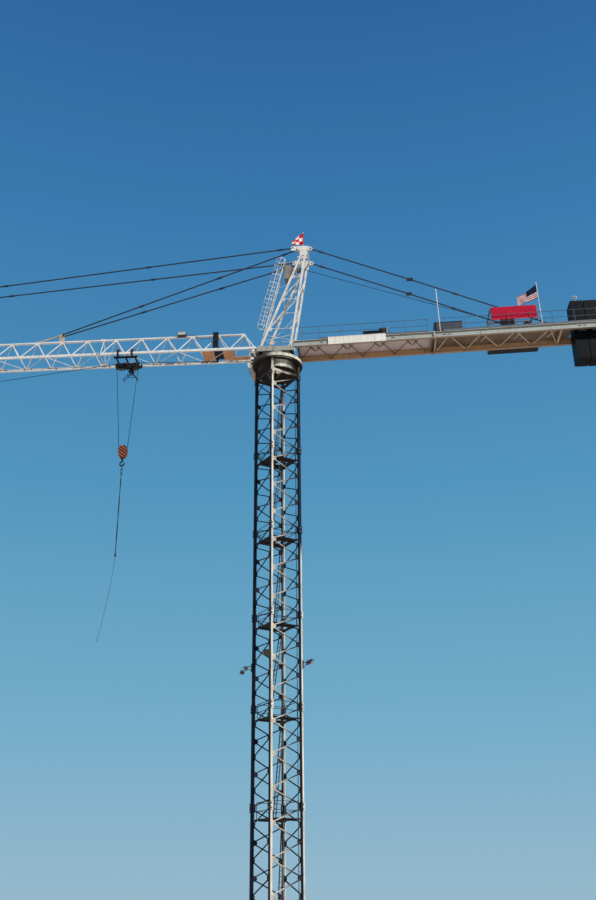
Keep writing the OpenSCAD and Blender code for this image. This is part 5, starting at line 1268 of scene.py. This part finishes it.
for x0, x1 in ((0.16, 1.14), (1.16, 2.15)):
    for i in range(1, 6):
        block(seams, (x0 + (x1 - x0) * i / 6, 0, DECK - 0.005), (0.012, 0.195, 0.0016), CJ)
block(seams, (CJ_JOINT, 0, DECK - 0.005), (0.028, 0.195, 0.0016), CJ)
finished("deck_seam_strips", seams, deck_paint, "upper")
repeated("deck_treads", GRATE_BARS, deck_treads, 0.0011, 0.011, deck_paint, "upper")

# The board on the near girder is a plain sheet in a folded frame, riveted at its corners.
# Its face is left bare.
BOARD_X0, BOARD_X1, BOARD_Z0, BOARD_Z1 = 0.38, 0.8, -0.004, 0.058
BOARD_FACE = -0.125
LIP = 0.003
board_paint = painted("board_paint", (0.8, 0.8, 0.755), dirt=(0.36, 0.31, 0.25), rust=(0.3, 0.15, 0.07),
                      dirt_amount=0.4, rust_amount=0.5, scale=7.0)
paint_nodes(board_paint, "name_board")
board, rivets = bmesh.new(), []
for z in (BOARD_Z0, BOARD_Z1 - LIP):
    plate(board, (BOARD_X0, BOARD_FACE - 0.0014, z), (BOARD_X1, BOARD_FACE + 0.001, z + LIP), CJ)
for x in (BOARD_X0, BOARD_X1 - LIP):
    plate(board, (x, BOARD_FACE - 0.0014, BOARD_Z0 + 0.0028),
          (x + LIP, BOARD_FACE + 0.001, BOARD_Z1 - 0.0028), CJ)
finished("board_frame", board, board_paint, "upper", bevel=0.0004)
for x in (BOARD_X0 + LIP / 2, BOARD_X0 + 0.105, BOARD_X0 + 0.21, BOARD_X0 + 0.315, BOARD_X1 - LIP / 2):
    for z in (BOARD_Z0 + LIP / 2, BOARD_Z1 - LIP / 2):
        rivets.append(seat(CJ, (x, BOARD_FACE - 0.0012, z), (0, -1, 0)))
repeated("board_rivets", ROUND_PINS, rivets, 0.0013, 0.0012, bolt_steel, "upper")

# Switch cabinets stand on the deck: sheet steel with doors, handles, hinges, louvres and a
# rain lip. A short post beside them carries a black hose, which runs along the girder.
cabinet_dark = painted("cabinet_dark", (0.005, 0.007, 0.014), dirt=(0.016, 0.014, 0.014),
                       rust=(0.12, 0.05, 0.025), dirt_amount=0.4, rust_amount=0.4, scale=14.0, gloss=0.08)
cabinet_grey = painted("cabinet_grey", (0.032, 0.045, 0.062), dirt=(0.05, 0.045, 0.042),
                       rust=(0.18, 0.08, 0.035), dirt_amount=0.5, rust_amount=0.5, scale=14.0)


def cabinet(name, x0, x1, y0, y1, height, material, doors):
    work = bmesh.new()
    top = DECK + height
    plate(work, (x0, y0, DECK + 0.004), (x1, y1, top), CJ)
    plate(work, (x0 - 0.0025, y0 - 0.003, top - 0.0015), (x1 + 0.0025, y1 + 0.003, top + 0.0025), CJ)
    for x in (x0 + 0.006, x1 - 0.006):
        plate(work, (x - 0.004, y0 + 0.003, DECK - 0.0004), (x + 0.004, y1 - 0.003, DECK + 0.006), CJ)
    wide = (x1 - x0 - 0.008) / doors
    for d in range(doors):
        a, b = x0 + 0.005 + d * wide, x0 + 0.003 + (d + 1) * wide
        for y, out in ((y0, -1), (y1, 1)):
            fitted = [(a, b, 0, 0.0016, 0.01, height - 0.006),
                      (b - 0.007, b - 0.004, 0.0014, 0.0045, height * 0.48, height * 0.6)]
            for share in (0.22, 0.78):
                fitted.append((a + 0.0002, a + 0.0024, 0.001, 0.0032, height * share - 0.004,
                               height * share + 0.004))
            for k in range(4):
                z = height * 0.12 + k * 0.0036
                fitted.append((a + 0.008, b - 0.01, 0.001, 0.0026, z, z + 0.0016))
            for left, right, inner, outer, low, high in fitted:
                near, far = sorted((y + out * inner, y + out * outer))
                plate(work, (left, near, DECK + low), (right, far, DECK + high), CJ)
    return finished(name, work, material, "upper", bevel=0.0008)


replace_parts(cabinet("control_box_low", 0.642, 0.76, -0.05, 0.02, 0.082, cabinet_dark, 2), "control_boxes")
cabinet("control_box_tall", 0.7615, 0.812, -0.044, 0.014, 0.105, cabinet_dark, 1)
cabinet("control_box_rear", 1.163, 1.366, -0.06, 0.04, 0.112, cabinet_grey, 3)
STAND_X = 0.8135
stand = bmesh.new()
for y in (-0.04, -0.029):
    plate(stand, (STAND_X, y, DECK - 0.0004), (STAND_X + 0.005, y + 0.005, DECK + 0.112), CJ)
plate(stand, (STAND_X, -0.04, DECK + 0.108), (0.83, -0.024, DECK + 0.112), CJ)
plate(stand, (STAND_X - 0.0005, -0.041, DECK - 0.0004), (0.83, -0.023, DECK + 0.003), CJ)
finished("cable_stand", stand, white_bolt, "upper", bevel=0.0005)
hose = [(0.82, -0.032, 0.098), (0.836, -0.044, 0.06), (0.85, -0.07, 0.02), (0.846, -0.09, 0.006),
        (0.8, -0.0965, 0.003), (0.64, -0.096, 0.003), (0.45, -0.0975, 0.003), (0.3, -0.0965, 0.003),
        (0.18, -0.0955, 0.003)]
hose_path = smooth_route([CJ @ Vector((x, y, DECK + rise)) for x, y, rise in hose], 8)
swept("deck_hose", hose_path, 0.0026, rubber, "upper", sides=8)

# The hoist winch: a grooved drum wound with rope between two cheek plates, a finned motor
# with its brake and gearbox, all on one base frame.
DRUM_X, AXLE_Z = 1.69, DECK + 0.06
MOTOR_X, MOTOR_Z = 1.83, DECK + 0.048
winch_grey = painted("winch_grey", (0.115, 0.12, 0.125), dirt=(0.05, 0.042, 0.036), rust=(0.17, 0.07, 0.03),
                     dirt_amount=0.65, rust_amount=0.6, scale=18.0)
paint_nodes(winch_grey, "hoist_winch")
drum_windings("hoist_rope_windings", (DRUM_X, 0, AXLE_Z), 0.06, 0.038, 0.0016, CJ)
winch = bmesh.new()
for side in (-1, 1):
    for y0, y1, radius, sides in ((0.061, 0.0625, 0.046, 40), (0.07, 0.079, 0.013, 20)):
        rod(winch, (DRUM_X, side * y0, AXLE_Z), (DRUM_X, side * y1, AXLE_Z), radius, sides=sides, at=CJ)
    for a in circle(6):
        spot = Vector((DRUM_X + 0.024 * cos(a), side * 0.0705, AXLE_Z + 0.024 * sin(a)))
        rod(winch, spot, spot + Vector((0, side * 0.003, 0)), 0.0026, sides=6, at=CJ)
for i in range(22):
    spin = CJ @ Matrix.Translation((MOTOR_X, 0, MOTOR_Z)) @ turned(360 / 22 * i, "Y")
    plate(winch, (0.027, -0.033, -0.0007), (0.0315, 0.033, 0.0007), spin)
rod(winch, (MOTOR_X, -0.06, MOTOR_Z), (MOTOR_X, -0.0415, MOTOR_Z), 0.025, sides=28, at=CJ)
rod(winch, (MOTOR_X, 0.0415, MOTOR_Z), (MOTOR_X, 0.056, MOTOR_Z), 0.022, sides=28, at=CJ)
plate(winch, (1.716, 0.071, DECK + 0.02), (1.842, 0.079, DECK + 0.088), CJ)
plate(winch, (1.812, -0.016, DECK + 0.0745), (1.848, 0.016, DECK + 0.09), CJ)
for x in (1.59, 1.895):
    for y in (-0.07, 0.07):
        rod(winch, (x, y, DECK + 0.0135), (x, y, DECK + 0.019), 0.0042, sides=6, at=CJ)
finished("hoist_winch_parts", winch, winch_grey, "upper", bevel=0.0006)

# The winch frame, access platform, tie post and flag pole are painted angle and tube. The
# frame has gusset and foot plates, the platform has a grating and the pole has two clips.
POLE_X = 1.931
FRAME_Y = 0.102
frame_paint = painted("frame_paint", (0.105, 0.12, 0.145), dirt=(0.14, 0.11, 0.09), dirt_amount=0.5,
                      rust_amount=0.8, scale=16.0)
paint_nodes(frame_paint, "winch_frame")
access_paint = painted("access_paint", (0.009, 0.011, 0.015), dirt=(0.012, 0.01, 0.01), dirt_amount=0.3,
                       rust_amount=0.15, scale=18.0, gloss=0.1)
paint_nodes(access_paint, "access_platform")
pole_paint = painted("pole_paint", (0.7, 0.7, 0.68), dirt=(0.24, 0.2, 0.16), dirt_amount=0.5, rust_amount=0.7,
                     scale=18.0)
paint_nodes(pole_paint, "tie_post", "flag_pole")
joinery = bmesh.new()
for side in (-1, 1):
    y = side * FRAME_Y
    for x in (1.575, 1.883):
        plate(joinery, (x, y - 0.001, 0.202), (x + 0.022, y + 0.001, 0.222), CJ)
    for x in (1.575, 1.74, 1.905):
        plate(joinery, (x - 0.008, y - 0.007, DECK + 0.0002), (x + 0.008, y + 0.006, DECK + 0.0032), CJ)
finished("winch_frame_gussets", joinery, frame_paint, "upper", bevel=0.0004)
grates = [seat(CJ, (1.562 + GRATE_PITCH * i, 0.122, 0.0032), CROSSWAYS) for i in range(88)]
repeated("access_grating", GRATE_BARS, grates, 0.0008, 0.0545, access_paint, "upper")
finials = bmesh.new()
top = CJ @ Vector((POLE_X, -GIRDER_Y, 0.417))
rod(finials, top - Vector((0, 0, 0.001)), top + Vector((0, 0, 0.003)), 0.0042, sides=16, end_radius=0.003)
rod(finials, (0.205, -0.095, APEX + 0.1535), (0.205, -0.095, APEX + 0.157), 0.0034, sides=16,
    end_radius=0.002)
for z in (0.07, 0.18):
    clip = Matrix.Translation(CJ @ Vector((POLE_X, -GIRDER_Y, z)))
    plate(finials, (-0.006, -0.004, -0.003), (0.0045, 0.004, 0.003), clip)
finished("pole_fittings", finials, pole_paint, "upper", bevel=0.0005)

# The ballast: cast concrete slabs painted near black, with chamfered edges, lifting eyes and
# hanger straps. Small brown spots show where the paint has worn.
SLAB_X, SLAB_PITCH = 2.156, 0.098
EYE_Z = 4.2267
ballast_paint = painted("ballast_paint", (0.0035, 0.0045, 0.0085), dirt=(0.01, 0.009, 0.01),
                        rust=(0.055, 0.03, 0.02), dirt_amount=0.3, rust_amount=0.25, underside=0.3, scale=9.0,
                        bump=0.5, gloss=0.05)
paint_nodes(ballast_paint, "ballast_slabs")
hangers = bmesh.new()
for i in range(3):
    x = SLAB_X + SLAB_PITCH * i
    for side in (-1, 1):
        plate(hangers, (x + 0.032, side * 0.058 - 0.0012, 4.0), (x + 0.06, side * 0.0655, 4.21))
        for z in (4.19, 4.16, 4.02):
            rod(hangers, (x + 0.046, side * 0.065, z), (x + 0.046, side * 0.069, z), 0.0034, sides=6)
    for n, dx in ((1, 0.02), (2, 0.072)):
        eye = [(x + dx + 0.0065 * cos(a), 0, EYE_Z + 0.0075 * sin(a)) for a in circle(16)]
        swept("ballast_eye_%d" % (2 * i + n), eye, 0.0016, pin_steel, "upper", sides=6,
              closed=True)
finished("ballast_straps", hangers, ballast_paint, "upper", bevel=0.0005)

# The tail lamp: a round white housing on a short stalk, with a dark lens. It stands on the
# first slab of the ballast.
LAMP_X, LAMP_Z = 2.198, 4.249
tail_lamp, tail_glass = bmesh.new(), bmesh.new()
rod(tail_lamp, (LAMP_X, -0.0655, LAMP_Z), (LAMP_X, -0.052, LAMP_Z), 0.0135, sides=28)
rod(tail_lamp, (LAMP_X, -0.06, LAMP_Z - 0.029), (LAMP_X, -0.06, LAMP_Z - 0.009), 0.0025, sides=10)
plate(tail_lamp, (LAMP_X - 0.008, -0.064, LAMP_Z - 0.0295), (LAMP_X + 0.008, -0.055, LAMP_Z - 0.0265))
finished("tail_lamp_housing", tail_lamp, white_bolt, "upper", bevel=0.001)
rod(tail_glass, (LAMP_X, -0.0672, LAMP_Z), (LAMP_X, -0.065, LAMP_Z), 0.0085, sides=24)
finished("tail_lamp_lens", tail_glass, lamp_cast, "upper", bevel=0.0006)


# The banner on the winch frame: heavy crimson cloth with a hemmed edge, brass eyelets and
# lacing to the frame. It is bare, and the wind presses soft waves into it.
def cloth_material(name, low, high, weave):
    material, tree, shader = new_material(name, Roughness=0.85, Specular_IOR_Level=0.1)
    place = add(tree, "ShaderNodeUVMap").outputs[0]
    soil = add(tree, "ShaderNodeTexNoise", place, Scale=7.0, Detail=5.0).outputs["Fac"]
    threads = add(tree, "ShaderNodeTexWave", place, Scale=weave, Distortion=0.4).outputs["Fac"]
    fill(tree, shader["Base Color"], mixed(tree, soil, low, high))
    fill(tree, shader["Normal"], relief(tree, threads, 0.25, 0.0003))
    return material, tree, place


def cloth(name, spot, columns, rows, thickness, material):
    verts, faces, uvs = [], [], []
    for side in (0.5, -0.5):
        for j in range(rows + 1):
            for i in range(columns + 1):
                point, normal = spot(i / columns, j / rows)
                verts.append(point + normal * thickness * side)
    layer = len(verts) // 2

    def face(corners):
        faces.append([back * layer + j * (columns + 1) + i for i, j, back in corners])
        uvs.extend((i / columns, j / rows) for i, j, _ in corners)

    for j in range(rows):
        for i in range(columns):
            square = [(i, j), (i + 1, j), (i + 1, j + 1), (i, j + 1)]
            face([(a, b, 0) for a, b in square])
            face([(a, b, 1) for a, b in reversed(square)])
    border = [(i, 0) for i in range(columns)] + [(columns, j) for j in range(rows)]
    border += [(i, rows) for i in range(columns, 0, -1)] + [(0, j) for j in range(rows, 0, -1)]
    for (i, j), (a, b) in zip(border, border[1:] + border[:1]):
        face([(i, j, 0), (i, j, 1), (a, b, 1), (a, b, 0)])
    obj = mesh_object(name, verts, faces, material, uvs)
    work = bmesh.new()
    work.from_mesh(obj.data)
    outward(work)
    work.to_mesh(obj.data)
    work.free()
    for polygon in obj.data.polygons:
        polygon.use_smooth = True
    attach(obj, "upper")
    return obj


BANNER_W, BANNER_H = 0.326, 0.107
BANNER_X, BANNER_Z = 1.577, 0.1195
HEM = 0.0035
crimson, _, _ = cloth_material("crimson_cloth", (0.4, 0.008, 0.036), (0.46, 0.012, 0.044), 260.0)


def banner_spot(u, v):
    held = (sin(pi * u) * sin(pi * v)) ** 0.5
    wave = 0.0011 * sin(9 * u + 3 * v) + 0.0007 * sin(23 * u - 5 * v)
    slack = 0.0006 * sin(pi * v) * abs(sin(6 * pi * u))
    place = (BANNER_X + BANNER_W * u, -0.1082 + wave * held, BANNER_Z + BANNER_H * v - slack)
    return seat(CJ, place, (0, -1, 0))


banner = cloth("banner_cloth", banner_spot, 64, 22, 0.0007, crimson)
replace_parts(banner, "banner")
hem = bmesh.new()
for x0, x1, z0, z1 in ((0, BANNER_W, 0, HEM), (0, BANNER_W, BANNER_H - HEM, BANNER_H), (0, HEM, 0, BANNER_H),
                       (BANNER_W - HEM, BANNER_W, 0, BANNER_H)):
    plate(hem, (BANNER_X + x0, -0.1089, BANNER_Z + z0), (BANNER_X + x1, -0.1075, BANNER_Z + z1), CJ)
banner_hem = finished("banner_hem", hem, crimson, "upper", bevel=0.0003)
brass = painted("brass", (0.42, 0.33, 0.16), dirt_amount=0.6, rust_amount=0.2, scale=60.0, metallic=0.8)
LACE = [(0, -0.1098, 0), (0.001, -0.1101, 0.003), (0.001, -0.107, 0.0052), (0.001, -0.1, 0.0054),
        (0, -0.0968, 0.002), (-0.001, -0.0968, -0.003), (0, -0.104, -0.003), (0, -0.1066, -0.001)]
TOP_EYELET = BANNER_Z + BANNER_H - 0.002
eyelets, lacing = bmesh.new(), []
for k in range(9):
    x = 1.581 + 0.03975 * k
    for z in (0.1215, TOP_EYELET):
        rod(eyelets, (x, -0.1094, z), (x, -0.107, z), 0.0018, sides=12, at=CJ)
    loop = [CJ @ Vector((x + dx, y, TOP_EYELET + dz)) for dx, y, dz in LACE]
    lace = swept("banner_lace_%d" % (k + 1), smooth_route(loop, 3), 0.0006, fibre_line, "upper",
                 sides=5)
    lacing.append(lace)
banner_eyelets = finished("banner_eyelets", eyelets, brass, "upper")


# The big flag droops in folds from its pole, snapped on by two brass rings: striped cloth
# with a plain blue corner.
def printed(tree, factor, colour):
    base = tree.nodes["Principled BSDF"].inputs["Base Color"]
    fill(tree, base, mixed(tree, factor, base.links[0].from_socket, colour))


def striped_cloth():
    material, tree, place = cloth_material("striped_cloth", (0.27, 0.006, 0.016), (0.33, 0.01, 0.022), 220.0)
    parts = add(tree, "ShaderNodeSeparateXYZ", place).outputs
    stripe = maths(tree, "FRACT", maths(tree, "MULTIPLY", parts[1], 6.5))
    printed(tree, maths(tree, "GREATER_THAN", stripe, 0.54), (0.66, 0.65, 0.66))
    near_pole = maths(tree, "LESS_THAN", parts[0], 0.52)
    upper = maths(tree, "GREATER_THAN", parts[1], 0.462)
    printed(tree, maths(tree, "MULTIPLY", near_pole, upper), (0.006, 0.009, 0.035))
    return material


def spread(corners, u, v):
    hoist_low, hoist_high, fly_low, fly_high = (Vector(c) for c in corners)
    return hoist_low.lerp(hoist_high, v).lerp(fly_low.lerp(fly_high, v), u)


FLAG = [(POLE_X - 0.0034, 0.286), (POLE_X - 0.0034, 0.4), (POLE_X - 0.1543, 0.226), (POLE_X - 0.1563, 0.299)]


def flag_spot(u, v):
    flat = spread(FLAG, u, v)
    droop = 0.01 * sin(pi * u) * (0.4 + 0.6 * v)
    wave = 0.0055 * sin(2.6 * pi * u + 2.2 * v) + 0.0025 * sin(5.4 * pi * u - 3.0 * v)
    sweep = 0.004 * sin(3.2 * pi * u + 1.0) * u * (1 - v)
    normal = Vector((cos(2.6 * pi * u + 2.2 * v) * 0.35, -1, 0.25 * sin(2 * pi * u))).normalized()
    return seat(CJ, (flat.x, wave * min(1.0, u * 3.5) - GIRDER_Y, flat.y - droop + sweep), normal)


flag = cloth("flag_cloth", flag_spot, 56, 30, 0.0006, striped_cloth())
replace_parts(flag, "flag")
for n, z in enumerate((0.3985, 0.288)):
    centre = Vector((POLE_X - 0.0012, -GIRDER_Y, z))
    ring = [CJ @ (centre + Vector((cos(a), sin(a), 0)) * 0.0048) for a in circle(14)]
    swept("flag_snap_%d" % (n + 1), ring, 0.0008, brass, "upper", sides=5,
                       closed=True)


# The pennant above the head is chequered red and white, cut to a taper and sewn round its
# pole in a sleeve.
def chequered_cloth():
    material, tree, place = cloth_material("chequered_cloth", (0.5, 0.01, 0.012), (0.6, 0.018, 0.018), 120.0)
    checks = add(tree, "ShaderNodeTexChecker", place, (1, 1, 1), (0, 0, 0), 3.0)
    printed(tree, checks.outputs["Fac"], (0.78, 0.77, 0.74))
    return material


PENNANT_POLE = (0.205, -HEAD_Y)
PENNANT = [(0.202, APEX + 0.038), (0.202, APEX + 0.142), (0.119, APEX + 0.036), (0.12, APEX + 0.076)]


def pennant_spot(u, v):
    flat = spread(PENNANT, u, v)
    wave = 0.0035 * sin(2.4 * pi * u + 1.6 * v) + 0.0012 * sin(6.0 * pi * u - 2.0 * v)
    normal = Vector((cos(2.4 * pi * u + 1.6 * v) * 0.3, -1, 0.1)).normalized()
    return Vector((flat.x, wave * min(1.0, u * 3.0) - HEAD_Y, flat.y)), normal


pennant = cloth("pennant_cloth", pennant_spot, 40, 24, 0.0006, chequered_cloth())
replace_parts(pennant, "pennant")
sleeve = bmesh.new()
rod(sleeve, (*PENNANT_POLE, APEX + 0.037), (*PENNANT_POLE, APEX + 0.143), 0.0034, sides=14)
pennant_sleeve = finished("pennant_sleeve", sleeve, pennant.data.materials[0], "upper")

# The trolley runs on the jib's bottom chords: dark plate cheeks and beams, flanged wheels on
# the chords, and two grooved sheaves for the hoist rope.
TROLLEY = -1.116
WHEEL_Z = 3.9356
SHEAVES_X = (TROLLEY - 0.051, TROLLEY + 0.051)
trolley_paint = painted("trolley_paint", (0.012, 0.013, 0.016), dirt=(0.03, 0.026, 0.024),
                        rust=(0.13, 0.055, 0.025), dirt_amount=0.5, rust_amount=0.6, scale=26.0, gloss=0.08)
paint_nodes(trolley_paint, "trolley_frame")
paint_nodes(sheave_steel, "trolley_sheaves")
wheels, trolley_bolts = bmesh.new(), []
for dx in (-0.052, 0.052):
    for side in (-1, 1):
        for inner, outer, radius, sides in ((0.1014, 0.1034, 0.0129, 28), (0.0918, 0.1068, 0.006, 16)):
            rod(wheels, (TROLLEY + dx, side * inner, WHEEL_Z), (TROLLEY + dx, side * outer, WHEEL_Z), radius,
                sides=sides)
for dxs, y, zs in (((-0.052, 0.052), 0.1112, (WHEEL_Z,)), ((-0.07, 0, 0.07), 0.0158, (3.872, 3.885)),
                   ((-0.08, -0.03, 0.03, 0.08), 0.0838, (3.8913,))):
    for dx in dxs:
        for side in (-1, 1):
            trolley_bolts += [((TROLLEY + dx, side * y, z), (0, side, 0)) for z in zs]
finished("trolley_wheel_flanges", wheels, sheave_steel, "trolley", bevel=0.0006)
repeated("trolley_bolts", HEX_HEADS, trolley_bolts, 0.003, 0.0022, bolt_steel, "trolley")
rims, pins = bmesh.new(), bmesh.new()
for x in SHEAVES_X:
    grooved_wheel(rims, (x, 0, SHEAVE_Z), 0.0283, 0.02, groove=0.004, hub=0.0125)
finished("trolley_sheave_rims", rims, sheave_steel, "trolley")
for s in (-1, 1):
    x = TROLLEY + s * 0.088
    rod(pins, (x + s * 0.0055, 0.06, TRAVEL_ROPE_Z), (x + s * 0.01, 0.06, TRAVEL_ROPE_Z), 0.0034, sides=12)
    plate(pins, (x - 0.0045, 0.0545, 3.896), (x + 0.0045, 0.056, 3.905))
rod(pins, (TROLLEY + 0.031, -0.02, 3.8), (TROLLEY + 0.031, 0.02, 3.8), 0.0045, sides=16)
for y0, y1 in ((-0.02, -0.016), (0.016, 0.02)):
    for x in SHEAVES_X:
        rod(pins, (x, y0, SHEAVE_Z), (x, y1, SHEAVE_Z), 0.0075, sides=20)
finished("trolley_pins_and_clamps", pins, pin_steel, "trolley", bevel=0.0005)


# The hook block: orange-brown cheek plates with dark slanting stripes, a grooved sheave with
# two guards that keep the rope in, and a nut on each side of the sheave pin.
def striped_paint():
    orange, dark = (0.4, 0.085, 0.022), (0.018, 0.007, 0.008)
    material = painted("striped_paint", orange, dirt=(0.1, 0.06, 0.04), rust=(0.18, 0.07, 0.03),
                       dirt_amount=0.55, rust_amount=0.9, scale=40.0)
    tree = material.node_tree
    paint = next(n for n in tree.nodes if n.type == "GROUP").inputs["Paint"]
    parts = add(tree, "ShaderNodeSeparateXYZ", add(tree, "ShaderNodeTexCoord").outputs["Object"]).outputs
    slope = maths(tree, "MULTIPLY_ADD", parts[0], 0.75, parts[2])
    stripe = maths(tree, "FRACT", maths(tree, "MULTIPLY", slope, 42.0))
    fill(tree, paint, mixed(tree, maths(tree, "GREATER_THAN", stripe, 0.46), orange, dark))
    return material


HOOK_X = -1.105
paint_nodes(striped_paint(), "hook_block")
CHEEK_BOLTS = [(-0.017, 3.193), (0.017, 3.193), (-0.024, 3.15), (0.024, 3.15), (-0.013, 3.118),
               (0.013, 3.118)]
block_bolts = []
for side in (-1, 1):
    block_bolts += [((HOOK_X + dx, side * 0.0148, z), (0, side, 0)) for dx, z in CHEEK_BOLTS]
    block_bolts.append(((HOOK_X, side * 0.0168, BLOCK_SHEAVE_Z), (0, side, 0)))
repeated("block_bolts", HEX_HEADS, block_bolts, 0.0034, 0.0028, pin_steel, "hook_block")
guard = bmesh.new()
for dx in (-0.0235, 0.0235):
    rod(guard, (HOOK_X + dx, -0.015, 3.182), (HOOK_X + dx, 0.015, 3.182), 0.0022, sides=10)
grooved_wheel(guard, (HOOK_X, 0, BLOCK_SHEAVE_Z), 0.028, 0.013, groove=0.0032, sides=36, hub=0.0052)
finished("block_sheave", guard, sheave_steel, "hook_block")

# The hook and its sling: a forged hook with a safety catch, black chain links and a wire
# sling with a pressed fitting at its end.
SLING_TOP, SLING_RUN, SLING_TWIST = 2.956, 0.572, 9
STRAND_R = 0.0016
forged = painted("forged_steel", (0.012, 0.012, 0.018), dirt=(0.035, 0.028, 0.026), rust=(0.12, 0.05, 0.025),
                 dirt_amount=0.4, rust_amount=0.5, scale=50.0, gloss=0.12)
paint_nodes(forged, "hook", "sling")
catch = bmesh.new()
plate(catch, (-0.0025, -0.0022, -0.015), (-0.0005, 0.0022, 0.015),
      Matrix.Translation((-1.0925, 0, 3.0663)) @ turned(14, "Y"))
rod(catch, (HOOK_X, 0, 3.0792), (HOOK_X, 0, 3.086), 0.0085, sides=6)
rod(catch, (HOOK_X, 0, 3.1), (HOOK_X, 0, 3.105), 0.01, sides=20)
finished("hook_catch_and_nut", catch, pin_steel, "hook", bevel=0.0004)
for n, swing in enumerate((-STRAND_R, STRAND_R)):
    leg = []
    for i in range(41):
        a = SLING_TWIST * i / 40
        leg.append((HOOK_X + swing * cos(a), swing * sin(a), SLING_TOP - SLING_RUN * i / 40))
    swept("sling_leg_%d" % (n + 1), leg, 0.0024, greased_rope, "hook", sides=7)
ferrules = bmesh.new()
for z0, z1 in ((2.94, SLING_TOP), (2.3895, 2.404)):
    rod(ferrules, (HOOK_X, 0, z0), (HOOK_X, 0, z1), 0.0044, sides=14)
rod(ferrules, (HOOK_X, -0.0062, 2.38), (HOOK_X, 0.0062, 2.38), 0.002, sides=10)
finished("sling_ferrules", ferrules, sheave_steel, "hook", bevel=0.0004)
